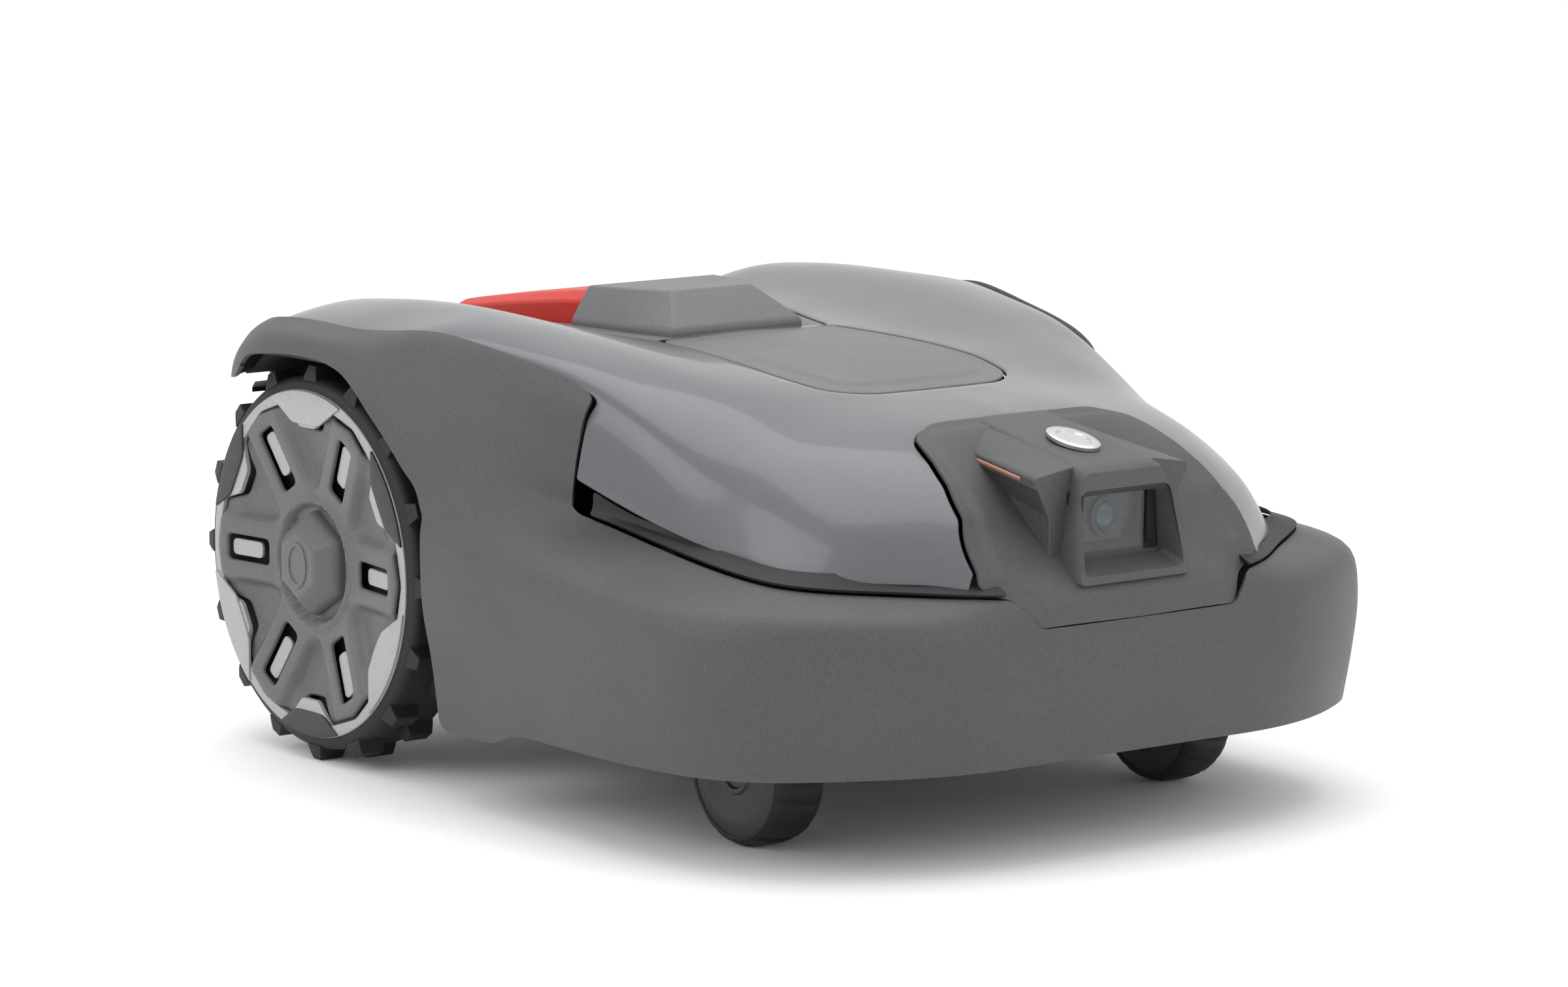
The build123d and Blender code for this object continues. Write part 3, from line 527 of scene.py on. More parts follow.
def cover_panel_loop(points, reach):
    return rounded(mirrored_pair(plan_half(points)), reach)


def hatch_loop(gap):
    points = [(0, -140 + gap), (48 - gap, -136 + gap), (70 - gap, -118), (77 - gap, -81),
              (66 - gap, 56 - gap), (0, 56 - gap)]
    return cover_panel_loop(points, 12)


def deck_loop(gap):
    points = [(0, 56 + gap), (66 - gap, 56 + gap), (84 - gap, 118), (99 - gap, 200), (103 - gap, 290),
              (98 - gap, 303 - gap), (0, 304 - gap)]
    return cover_panel_loop(points, 5)


def stop_loop(gap):
    points = [(0, 152 - gap), (54 + gap, 152 - gap), (58 + gap, 172), (62 + gap, 292), (54 + gap, 301 + gap),
              (0, 302 + gap)]
    return cover_panel_loop(points, 5)


NOSE_PLAN = [(0, -206), (66, -206), (81, -216), (88, -240), (93, -260), (98, -280), (104, -300)]


def make_cover():
    nose = plan_half([(0, -206 + GAP), (66, -206 + GAP)])
    nose += [(u + GAP, v) for u, v in plan_half(NOSE_PLAN[2:])]
    right = [(U_LIP, -302.5 + GAP), (U_LIP, -46 - GAP), (U_SEAM + 12, -50 - GAP), (U_SEAM - 1, -55 - GAP)]
    seam = [(U_SEAM - GAP, y) for y in (-28, 28, 73, 88, 117, 152, 153, 205, 250)]
    rear = plan_half([(208 - GAP, 277), (150, 306 - GAP), (0, 308 - GAP)])
    reach = [2, 20, 14, 4, 4, 4, 2, 3, 3, 4, 12] + [4] * len(seam) + [8, 20, 2]
    reach += reach[::-1][1:-1]
    loop = rounded(mirrored_pair(nose + right + seam + rear), reach)
    return panel("top_cover_skin", cover_surface, [loop, hatch_loop(-GAP), deck_loop(-GAP)])


def height_to_u(v, z):
    """u on the shell surface at station v where the height is z."""
    column = shell_surface.point([(u, v) for u in np.arange(0, U_TOP, 1.0)])[:, 2]
    k = max(int(np.argmax(column > z)), 1)
    return k - 1 + (z - column[k - 1]) / (column[k] - column[k - 1])


# Wheel arch as (y, z), from the foot of its front edge over the top to the rear corner.
ARCH = [(43, 173), (53, 190), (79, 213), (102, 231), (118, 243), (135, 251), (155, 255), (213, 254.5),
        (242, 251), (254, 241), (262, 233)]
REAR_X = 140.0  # where the rear corners meet the rear wall


def make_shell():
    """Bumper, sides and fenders in one moulding, from the left rear corner round to the right one."""
    v_rear = around(REAR_X, 322) - GAP
    bottom = [(around(46, -316), 61), (around(122, -312), 60.5), (-321, 60), (-254, 58.5), (-211, 57.5),
              (-150, 56), (-60, 56), (-42, 55), (-18, 46), (20, 44.5), (34, 45), (41, 50)]
    behind = [(250, 243), (258, 236), (272, 233), (around(190, 300), 232), (around(178, 310), 228),
              (around(176, 312), 84), (around(168, 318), 80), (v_rear, 80)]
    half = [(height_to_u(v, z), v) for v, z in bottom + ARCH[:10] + behind]
    half += [(U_WING + GAP, v_rear), (U_WING + GAP, 262)]
    half += [(U_WING + GAP, y) for y in (250, 205, 153, 152, 117, 88, 73, 28, -28)]
    half += [(U_WING, -54.5 + GAP), (U_DIAGONAL, -46 + GAP), (U_EDGE + 4, -44.5 + GAP)]
    half += [(U_EDGE, v) for v in (-50, -119, -197, around(140, -282), around(104, -309))]
    half += [(U_EDGE - 2, around(90, -312)), (U_EDGE - 6, around(86, -315)), (U_UPPER - 5, around(74, -319))]
    loop = half + [(u, 2 * V_FRONT - v) for u, v in reversed(half)]
    return panel("lower_shell_skin", shell_surface, [rounded(loop, 6.0)])


def make_rear_wall():
    """Wall between the rear corners, with the opening that a hand reaches the carrying bar through."""
    v0 = around(REAR_X, 322) + GAP
    at_opening = around(70, 322)
    half = [(height_to_u(v0, 80), v0), (height_to_u(at_opening, 80), at_opening),
            (height_to_u(at_opening, 150), at_opening)]
    loop = half + [(u, 2 * V_BACK - v) for u, v in reversed(half)]
    loop += [(U_WING + GAP, 2 * V_BACK - v0), (U_WING + GAP, v0)]
    return panel("rear_wall", shell_surface, [rounded(loop, 7.0)])


class Sunk:
    """A surface moved inwards by a fixed depth."""

    def __init__(self, base, depth):
        self.base, self.depth, self.normal = base, depth, base.normal

    def point(self, uv):
        return self.base.point(uv) - self.base.normal(uv) * self.depth


def make_recess():
    """Dark step set back under the lip of the cover."""
    stations = [around(90, -300), around(104, -296), -197, -119, -58]
    half = [(U_EDGE + 1, v) for v in stations] + [(U_SHOULDER + 12, v) for v in reversed(stations)]
    halves = [half, [(u, 2 * V_FRONT - v) for u, v in half]]
    return [panel(f"lip_recess_{side}", Sunk(shell_surface, 4.0), [rounded(loop, 3)], wall=2.0)
            for side, loop in zip(("left", "right"), halves)]


def make_corner_plates():
    """Dark plates that close the rear corners behind the wheels."""
    outline = [(150, 282), (216, 282), (200, 304), (150, 312)]
    plate = skinned("corner_plate_left", [[(x, y, z) for x, y in outline] for z in (221, 224)])
    return [plate, mirror_object(plate, "corner_plate_right")]


def make_deck_lining():
    """Dark flange under the seam round the rear deck."""
    return panel("deck_lining", Sunk(cover_surface, 4.2), [deck_loop(-7), stop_loop(-6)], wall=1.5)


def make_arch_band():
    """Dark band that lines a wheel arch."""
    outer = [(43, 60), (43, 173)] + ARCH[1:-1] + [(262, 240), (266, 238)]
    inner = [(263, 236), (252, 243), (238, 250), (214, 251.5), (156, 252), (137, 248), (120, 240),
             (105, 228.5), (82, 210), (56, 187.5), (45.5, 172), (45.5, 60)]
    return gathered("arch_band_left", [prism_x(outer + inner, ARCH_IN, ARCH_OUT)])


def make_arch_wall():
    """Dark wall of the chassis between a wheel and the case."""
    outline = [(40, 60), (40, 175), (53, 192), (102, 233), (135, 252), (214, 256), (262, 240), (276, 232),
               (276, 216), (296, 216), (296, 60)]
    return gathered("arch_wall_left", [prism_x(outline, ARCH_WALL, ARCH_WALL + 2.5)])


def mirror_object(obj, name):
    """Copy of a mesh object mirrored about the middle plane, with its faces turned back outwards."""
    mesh = obj.data.copy()
    mesh.transform(Matrix.Scale(-1, 4, (1, 0, 0)))
    mesh.flip_normals()
    twin = bpy.data.objects.new(name, mesh)
    bpy.context.scene.collection.objects.link(twin)
    for modifier in obj.modifiers:
        bevelled(twin, modifier.width / MM, modifier.segments, round(modifier.angle_limit * 180 / pi))
    return twin


# ---- camera nose
def nose_rim():
    """Points on the cover along the side of the nose, from its rear corner to the lip."""
    corners = plan_half(NOSE_PLAN[1:])
    path = np.array([np.add(a, np.subtract(b, a) * t) for a, b in zip(corners, corners[1:])
                     for t in (0.0, 0.2, 0.4, 0.6, 0.8)] + [corners[-1]])
    path[:, 0] -= GAP
    return [tuple(p) for p in cover_surface.point(path)]


def apron_rails():
    """Rails from the middle out, each from the rear edge down to the lower front edge."""
    foot = [(50, -206, 241), (50, -219, 235), (49, -240, 220), (48.5, -262, 202), (48.5, -280, 186),
            (50, -296, 171), (52, -306, 163.5), (54, -313, 157), (56, -317, 151), (58, -319.5, 144),
            (58, -320.3, 137)]
    middle = [(0, y, z) for _, y, z in foot]
    rim = nose_rim() + [(104, -303.5, 157), (100, -308, 150), (98, -312, 144), (96, -314, 137)]
    return [middle, foot, rim]


APRON_SPANS = [49.0, 48.0]


def make_apron():
    """Apron of the nose, flush with the cover at its sides and lapped over the bumper in front."""
    surface = Surface(apron_rails(), lambda x, y, z: -(y + z), APRON_SPANS, 5.0, 3.5, 0.6)
    surface.mirror_across()
    outer = APRON_SPANS[0] + APRON_SPANS[1]
    v_rear, v_corner = surface.v[0] + 0.5, float(surface.find([(104, -302)], [0, 1])[0, 1])
    low = [tuple(p) for p in surface.find([(86, 154.5), (73, 139), (0, 139)], [0, 2])]
    half = [(0.0, v_rear), (outer - 10, v_rear), (outer - 0.3, v_rear + 14), (outer - 0.3, v_corner)] + low
    reach = [1, 10, 14, 3, 5, 4, 1]
    loop = rounded(mirrored_pair(half), reach + reach[::-1][1:-1])
    return panel("nose_apron", Raised(surface, loop, 9, 6, -1.6), [loop], grid=3.0, wall=2.5)


def hood_ring(half_low, half_high, z_low, z_high, y_low, y_high, reach):
    """Ring of points round the camera hood or its opening, at y_low at the foot and y_high at the top."""
    flat = rounded([(-half_low, z_low), (half_low, z_low), (half_high, z_high), (-half_high, z_high)], reach)
    return [(x, y_low + (y_high - y_low) * (z - z_low) / (z_high - z_low), z) for x, z in flat]


def make_hood():
    """Camera hood: a tunnel with a flat roof, a leaning front frame and a sloping reveal."""
    rings = [hood_ring(46, 27, 158, 243.5, -225, -207, 4), hood_ring(44, 28, 158, 232.5, -270, -262, 5),
             hood_ring(43, 29.5, 158, 226.5, -312, -296, 5),
             hood_ring(42.5, 29.8, 159, 224.5, -317, -303.5, 5),
             hood_ring(41.5, 29.3, 160, 222.0, -319, -307, 5),
             hood_ring(37.5, 33, 164.5, 212.5, -318.4, -309.5, 5),
             hood_ring(33, 31.0, 171.5, 208, -303.5, -302, 3.5),
             hood_ring(33, 31.0, 171.5, 208, -296, -296, 3.5), hood_ring(41, 27, 160, 220, -290, -290, 5),
             hood_ring(44, 25, 160, 238, -225, -210, 4), ]
    return bevelled(skinned("camera_hood", rings, closed=True, sharp=28), 1.2, 3, 24)


def make_camera():
    """Camera block behind the window, with a ringed lens, in an open black box."""
    front = [[(x, -292 + d, z) for x, z in rounded_box(-26 + s, 22 - s, 178 + s, 208 - s, 4)]
             for d, s in ((40, 0), (1.0, 0), (0, 1.0))]
    block = bevelled(skinned("camera_block", front), 0.4)
    lens = turned([(0.2, 0), (1.5, 9), (2.2, 9.8), (2.2, 12), (0, 12), (-2, 12), (-2, 0)], 0, 0, 48)
    ring = to_object("camera_lens_ring", *lens)
    glass = to_object("camera_lens", *turned([(3.2, 0), (2.6, 4), (1.6, 7.5), (0.5, 8.6), (-1, 8.6), (-1,
                                                                                                      0)],
                                             0, 0, 48))
    for piece in (ring, glass):
        piece.data.transform(Matrix.Rotation(-pi / 2, 4, "Z"))
        piece.data.transform(Matrix.Translation(Vector((-2, -292.5, 194)) * MM))
    inner = [rounded_box(-34, 34, 168, 211, 3), rounded_box(-33.8, 33.8, 168.2, 210.8, 3)]
    rings = [[(x, y, z) for x, z in inner[k]] for y, k in ((-298.5, 0), (-240, 0), (-240, 1), (-298.5, 1))]
    box = skinned("camera_box", rings, closed=True)
    back = to_object("camera_box_back", *slab((-34, -240, 168), (34, -238, 211)))
    return block, ring, glass, box, back


def wing_section(t):
    """Section (x, y, z) of the left headlamp wing, t from its rear end to its front."""
    y = -209 - 88 * t
    roof = 241.0 - 15.5 * t
    top_x, top_z = 51 + 6 * t, 233 - 12.0 * t
    low_z = top_z - 8.0 + 0.5 * t
    foot_x = 60 - 9.0 * t
    foot_z = low_z - 2.0 - 42 * t
    dent = 2.5 + 5.0 * t
    return [(26, y, roof), (34, y, roof - 1.0), (top_x - 1.5, y, top_z), (top_x, y, top_z - 1.5),
            (top_x + 0.4, y, low_z + 0.8), (top_x - 1.6 * t, y, low_z),
            (foot_x + (top_x - foot_x) * 0.55 - dent, y, foot_z + (low_z - foot_z) * 0.62),
            (foot_x - 0.6 * dent, y, foot_z + (low_z - foot_z) * 0.18),
            (foot_x - 3, y, foot_z - 3), (26, y, foot_z - 3)]


def make_wing():
    """Headlamp wing: a bar with the light strip along its outer face over a hollow triangular cheek."""
    wing = bevelled(skinned("headlamp_wing_left", [wing_section(t) for t in np.linspace(0, 1, 15)],
                            sharp=35), 0.9)
    strips = []
    for t in np.linspace(0.05, 0.84, 9):
        (x0, y, z0), (x1, _, z1) = wing_section(t)[3:5]
        x, z = (x0 + x1) / 2 + 0.3, (z0 + z1) / 2
        strips.append([(x + 0.9 * cos(a), y, z + 1.3 * sin(a))
                       for a in np.linspace(0, tau, 12, endpoint=False)])
    return wing, skinned("light_strip_left", strips)


def make_badge():
    """Plain ring badge on the nose roof."""
    profile = [(0, 0), (0.9, 0), (0.9, 8), (1.9, 8.6), (1.9, 12.4), (1.4, 13), (-0.6, 13), (-0.6, 0)]
    badge = to_object("nose_badge", *turned(profile, 0, 0, 72))
    badge.data.transform(Matrix.Rotation(-pi / 2, 4, "Y") @ Matrix.Scale(1.5, 4, (0, 1, 0)))
    badge.data.transform(Matrix.Rotation(radians(12.3), 4, "X"))
    badge.data.transform(Matrix.Translation(Vector((0, -262, 234.2)) * MM))
    return badge


# ---- housing and button on the rear deck
def mirrored_ring(half, z):
    return [(x, y, z(x, y) if callable(z) else z) for x, y in mirrored_pair(half)]


def make_antenna():
    """Housing over the satellite antenna: a flat top with chamfered sides down to the deck."""
    base = [(0, 60), (50, 60), (60, 98), (62, 152), (0, 152)]
    waist = [(0, 61.5), (49, 61.5), (58.5, 98), (60.5, 152), (0, 152)]
    top = [(0, 88), (31, 88), (43, 112), (49, 152), (0, 152)]
    rings = [mirrored_ring(base, 262), mirrored_ring(base, 268.5), mirrored_ring(waist, 271),
             mirrored_ring(top, lambda x, y: 288.8 + 1.2 * (y < 140))]
    return bevelled(skinned("antenna_housing_skin", rings, sharp=30), 2.2, 3, 20)


def make_stop():
    """Stop button: a wedge with a raised middle face, chamfered sides and a facet down to its rear edge."""
    stations = [(152.8, 53, 285.5, 279), (172, 56, 284.5, 278), (230, 59, 277, 271.5), (284, 61, 268.5, 264),
                (295, 57.5, 262.5, 259), (300.6, 53, 257.3, 255.8)]
    rings = []
    for y, half, top, side in stations:
        rings.append([(x, y, z) for x, z in ((-half, 252), (half, 252), (half, side), (half - 9,
                                                                                       top - 0.6),
                                             (half - 20, top), (20 - half, top), (9 - half, top - 0.6),
                                             (-half, side))])
    return bevelled(skinned("stop_button_skin", rings, sharp=25), 1.6, 3, 14)


# ---- drive wheels
SPOKE = tau / 6
COVER_EDGE = 100.0  # reach of the wheel cover along its spokes
NOTCH = 84.0  # reach of the wheel cover between its spokes


def polar(r, a):
    """(back, up) of a point at radius r and angle a from straight up."""
    return (r * sin(a), r * cos(a))


def spoke_outline(grow):
    """Outline of the six-spoked wheel cover."""
    loop = []
    for k in range(6):
        a = SPOKE * (k + 0.5)
        for turn, r in ((-24, NOTCH), (-17, COVER_EDGE), (0, COVER_EDGE + 2), (17, COVER_EDGE), (24, NOTCH)):
            loop.append(polar(r + grow, a + radians(turn)))
    return rounded(loop[::-1], 3.0)


def dish(r):
    """Outward distance of the wheel cover's face at radius r."""
    return np.interp(r, [0, 34, 44, 60, 85, 97, 103], [225, 225, 226, 228.2, 231.6, 233.2, 232.4])


def cover_height(u, v):
    """Wheel cover: a shallow dish with a scoop between each pair of spokes and a lip round the hub."""
    r = np.hypot(u, v)
    a = np.arctan2(u, v)
    off = (a / SPOKE - 0.5 - np.round(a / SPOKE - 0.5)) * SPOKE
    away = np.abs(r * np.sin(off))
    scoop = 7.5 * step_up(away, 16.5, 25) * step_up(r, 42, 58) * (1 - 0.35 * step_up(r, 78, 92))
    lip = 2.4 * np.exp(-((r - 39.5) / 2.6) ** 2)
    well = 3.0 * step_up(-r, -38, -34)
    return dish(r) - scoop + lip - well


def slot_loop(a, inner, outer, half):
    """Rounded slot along the spoke at angle a."""
    across = np.array([cos(a), -sin(a)])
    along = np.array([sin(a), cos(a)])
    corners = [along * inner - across * half, along * inner + across * half, along * outer + across * half,
               along * outer - across * half]
    return rounded(corners, min(4.0, half * 0.75))


def make_plates(name, first, low, turn):
    """Plates in every second gap between the wheel cover's spokes, as one object."""
    plates = []
    for k in range(first, 6, 2):
        a = SPOKE * k
        arc = [polar(FACE_R - 0.4, a + radians(t)) for t in np.linspace(turn, -turn, 12)]
        foot = [polar(low, a - radians(9.5)), polar(low - 1.5, a), polar(low, a + radians(9.5))]
        loop = rounded(arc + foot, [1.5] + [0.1] * 10 + [1.5, 3, 2, 3])
        plates.append(panel("plate", Relief(lambda u, v: 232.0 + 0 * u), [loop], 5, 1.8, 0.7))
    return joined(name, plates)


def make_wheel_face():
    """Left wheel's face: six-spoked cover, ring, back, plates, slot inserts and hub."""
    spokes = [SPOKE * (k + 0.5) for k in range(6)]
    slots = [slot_loop(a, 51, 91, 8.2) for a in spokes]
    cover = panel("wheel_cover_left", Relief(cover_height), [spoke_outline(0)] + slots, 2.2, 2.6, 1.6)
    rim = np.array([polar(FACE_R, a) for a in np.linspace(0, tau, 120, endpoint=False)][::-1])
    ring = panel("wheel_ring_left", Relief(lambda u, v: 230.6 + 0 * u), [rim, spoke_outline(1.4)], 5, 3.0,
                 0.8)
    profile = [(212, 0), (212, 103), (227.8, 103), (227.8, 97), (217, 92), (216, 0)]
    back = to_object("wheel_back_left", *turned(profile, WHEEL_Y, WHEEL_Z))
    plates = make_plates("wheel_plates_left", 0, 88.5, 21.0)
    wedges = make_plates("wheel_wedges_left", 1, 94.0, 17.5)
    floor = Relief(lambda u, v: dish(np.hypot(u, v)) - 2.6)
    inserts = [panel("insert", floor, [slot_loop(a, 60, 88.5, 5.2)], 4, 2.0, 0.6) for a in spokes]
    return [cover, ring, back, plates, wedges, joined("wheel_inserts_left", inserts), make_hub()]


def make_hub():
    """Six-sided hub dome."""
    rings = []
    for x, r in ((220, 33.5), (226.5, 33.0), (230, 31.0), (237.2, 22.5), (238.6, 20.0)):
        rings.append([(x, WHEEL_Y + p[0], WHEEL_Z + p[1]) for p in (polar(r, SPOKE * k) for k in range(6))])
    return bevelled(skinned("wheel_hub_left", rings, sharp=20), 3.2, 4, 10)


def make_hub_ring():
    """Plain oval ring on the face of the hub."""
    profile = [(238.2, 8.2), (239.4, 8.6), (239.4, 10.6), (238.2, 11.0), (237.8, 9.6)]
    ring = to_object("hub_ring_left", *turned(profile, 0, 0, 60))
    ring.data.transform(Matrix.Scale(1.35, 4, (0, 0, 1)))
    ring.data.transform(Matrix.Translation(Vector((0, WHEEL_Y, WHEEL_Z)) * MM))
    return ring


def joined(name, objects):
    """One object from several, removing them."""
    work = bmesh.new()
    for obj in objects:
        work.from_mesh(obj.data)
        bpy.data.objects.remove(obj)
    mesh = bpy.data.meshes.new(name)
    work.to_mesh(mesh)
    work.free()
    obj = bpy.data.objects.new(name, mesh)
    bpy.context.scene.collection.objects.link(obj)
    return obj


def tread_block(a, x0, x1):
    """Tapered block across the tyre at angle a."""
    rings = []
    for r, half, cut in ((TYRE_R - 2.5, 7.5, 0.0), (TYRE_R + 1.0, 6.2, 0.6), (STUD_R - 0.4, 4.2, 2.4)):
        ends = (x0 + cut, x1 - cut)
        ring = []
        for x, s in ((ends[0], -half), (ends[1], -half), (ends[1], half), (ends[0], half)):
            ring.append((x, WHEEL_Y + s * cos(a) + r * sin(a), WHEEL_Z - s * sin(a) + r * cos(a)))
        rings.append(ring)
    return skin_of(rings)


def make_tyre():
    """Left tyre: rounded shoulders and two staggered rows of tapered blocks."""
    profile = [(TYRE_IN, 104), (TYRE_IN, 111)]
    profile += [(TYRE_IN + 5 - 5 * cos(a), TYRE_R - 5 + 5 * sin(a)) for a in np.linspace(0.2, pi / 2, 5)]
    profile += [(TYRE_OUT - 7 + 7 * sin(a), TYRE_R - 7 + 7 * cos(a))
                for a in np.linspace(0, pi / 2 - 0.1, 7)]
    profile += [(TYRE_OUT + 0.6, FACE_R + 0.5), (TYRE_OUT - 1, 104)]
    blocks = []
    for k in range(STUDS_PER_ROW):
        a = tau * k / STUDS_PER_ROW
        blocks.append(tread_block(a, TYRE_OUT - 22, TYRE_OUT - 1))
        blocks.append(tread_block(a + tau / STUDS_PER_ROW / 2, TYRE_IN + 1, TYRE_IN + 22))
    body = [turned(profile, WHEEL_Y, WHEEL_Z, 144)]
    return bevelled(gathered("tyre_left", body + blocks), 0.6, 2, 35)


# ---- casters
def make_caster_tread(name, x):
    """Caster tyre with slanting grooves across its crown."""
    profile = [(-17, 38.5), (-17.5, 40), (-15.5, 42.6), (-12, 44.2), (-7, 44.9), (0, 45), (7, 44.9),
               (12, 44.2), (15.5, 42.6), (17.5, 40), (17, 38.5)]
    rings = []
    steps, grooves = 216, 18
    for k in range(steps):
        a = tau * k / steps
        ring = []
        for px, r in profile:
            phase = (a * grooves / tau + px * 0.012) % 1.0
            cut = 1.5 * step_up(-abs(phase - 0.5), -0.13, -0.07) * step_up(-abs(px), -16.2,
                                                                           -14) if r > 41 else 0.0
            ring.append((x + px, CASTER_Y + (r - cut) * sin(a), CASTER_R + (r - cut) * cos(a)))
        rings.append(ring)
    return to_object(name, *skin_of(rings, closed=True))


def make_caster_hub(name, x, outward):
    """Caster hub with domed cheeks, a dished centre and a screw cap on the outer side."""
    half = [(19.3, 0), (19.3, 4.2), (18.6, 4.8), (16.2, 5.0), (16.0, 9.5), (17.6, 10.5), (17.8, 13.0),
            (16.4, 14.2), (16.8, 22), (18.6, 26), (19.0, 30), (18.0, 35), (16.5, 38.8)]
    other = [(-16.5, 38.8), (-19, 34), (-19.2, 26), (-17, 22), (-16, 12), (-16, 5.5), (-16, 0)]
    profile = [(x + outward * px, r) for px, r in half + other]
    return to_object(name, *turned(profile, CASTER_Y, CASTER_R, 72), 30)


# ---- hatch gear
def make_hatch_gear():
    """Cross bar under the cover that the hatch swings on, and the hatch's two lugs."""
    y = HATCH_AXIS_Y
    parts = [slab((-150, y - 4, 217), (150, y + 4, 222))]
    parts += [slab((x - 2, y + 1.2, 220), (x + 2, y + 7, 247)) for x in (-28, 28)]
    bar = gathered("hatch_cross_bar", parts)
    lugs = gathered("hatch_lugs", [slab((x - 2, y - 3, 245), (x + 2, y + 3, 251)) for x in (-33, 33)])
    return bevelled(bar, 0.8), bevelled(lugs, 0.8)


# ---- materials
def srgb(r, g, b):
    """Linear colour from 0 to 255 screen values."""
    values = [c / 255 for c in (r, g, b)]
    return [c / 12.92 if c <= 0.04045 else ((c + 0.055) / 1.055) ** 2.4 for c in values] + [1.0]


def base_material(name, roughness, metallic=0.0, coat=0.0, coat_roughness=0.1, specular=0.5):
    """Material with constant gloss settings, and its shader."""
    mat = bpy.data.materials.new(name)
    mat.use_nodes = True
    shader = mat.node_tree.nodes["Principled BSDF"]
    shader.inputs["Roughness"].default_value = roughness
    shader.inputs["Metallic"].default_value = metallic
    shader.inputs["Coat Weight"].default_value = coat
    shader.inputs["Coat Roughness"].default_value = coat_roughness
    shader.inputs["Specular IOR Level"].default_value = specular
    return mat, shader


def add_node(mat, kind, **values):
    """Shader node of the given kind with the named inputs set."""
    node = mat.node_tree.nodes.new(f"ShaderNode{kind}")
    for key, value in values.items():
        node.inputs[key.replace("_", " ")].default_value = value
    return node


def noise(mat, scale):
    """Noise in the part's own frame; scale is in cycles per metre."""
    field = add_node(mat, "TexNoise", Scale=scale, Detail=3.0)
    mat.node_tree.links.new(add_node(mat, "TexCoord").outputs["Object"], field.inputs["Vector"])
    return field.outputs["Fac"]


def vary(mat, fac, low, high, start=0.3, stop=0.7):
    """Value that follows a noise between two limits."""
    span = add_node(mat, "MapRange", From_Min=start, From_Max=stop, To_Min=low, To_Max=high)
    mat.node_tree.links.new(fac, span.inputs["Value"])
    return span.outputs["Result"]


def tint(mat, shader, colour, fac, low, high):
    """Base colour scaled from low to high by a noise."""
    mix = mat.node_tree.nodes.new("ShaderNodeMix")
    mix.data_type = "RGBA"
    mix.inputs["A"].default_value = [c * low for c in colour[:3]] + [1.0]
    mix.inputs["B"].default_value = [min(c * high, 1.0) for c in colour[:3]] + [1.0]
    mat.node_tree.links.new(fac, mix.inputs["Factor"])
    mat.node_tree.links.new(mix.outputs["Result"], shader.inputs["Base Color"])


def bump(mat, shader, fac, height):
    """Fine relief that follows a noise."""
    node = add_node(mat, "Bump", Distance=height * MM, Strength=0.6)
    mat.node_tree.links.new(fac, node.inputs["Height"])
    mat.node_tree.links.new(node.outputs["Normal"], shader.inputs["Normal"])


def uneven(mat, shader, fac, low, high):
    """Roughness that follows a noise between two limits."""
    mat.node_tree.links.new(vary(mat, fac, low, high), shader.inputs["Roughness"])


def moulded(name, colour, roughness=0.5, speckle=0.10, grain=0.06, scale=900, **gloss):
    """Moulded plastic: fine mineral speckle, spark-eroded grain and slightly uneven gloss."""
    mat, shader = base_material(name, roughness, **gloss)
    fine = noise(mat, scale)
    tint(mat, shader, colour, vary(mat, fine, 0, 1, 0.35, 0.65), 1 - speckle, 1 + speckle)
    bump(mat, shader, fine, grain)
    uneven(mat, shader, noise(mat, 14), roughness - 0.04, roughness + 0.05)
    return mat


def brushed(name, colour, roughness, scratch=0.05):
    """Machined metal: long fine scratches and a little tarnish."""
    mat, shader = base_material(name, roughness, metallic=1.0)
    stretch = add_node(mat, "Mapping", Scale=(60, 1400, 1400))
    lines = add_node(mat, "TexNoise", Scale=1.0)
    mat.node_tree.links.new(add_node(mat, "TexCoord").outputs["Object"], stretch.inputs["Vector"])
    mat.node_tree.links.new(stretch.outputs["Vector"], lines.inputs["Vector"])
    tint(mat, shader, colour, vary(mat, lines.outputs["Fac"], 0, 1), 0.82, 1.08)
    bump(mat, shader, lines.outputs["Fac"], scratch)
    uneven(mat, shader, noise(mat, 30), roughness - 0.06, roughness + 0.10)
    return mat


def glassy(name, colour):
    """Clear glass with a trace of dust."""
    mat, shader = base_material(name, 0.0)
    shader.inputs["Transmission Weight"].default_value = 1.0
    shader.inputs["IOR"].default_value = 1.47
    dust = noise(mat, 220)
    tint(mat, shader, colour, vary(mat, dust, 0, 1, 0.4, 0.7), 0.97, 1.03)
    uneven(mat, shader, dust, 0.0, 0.03)
    return mat


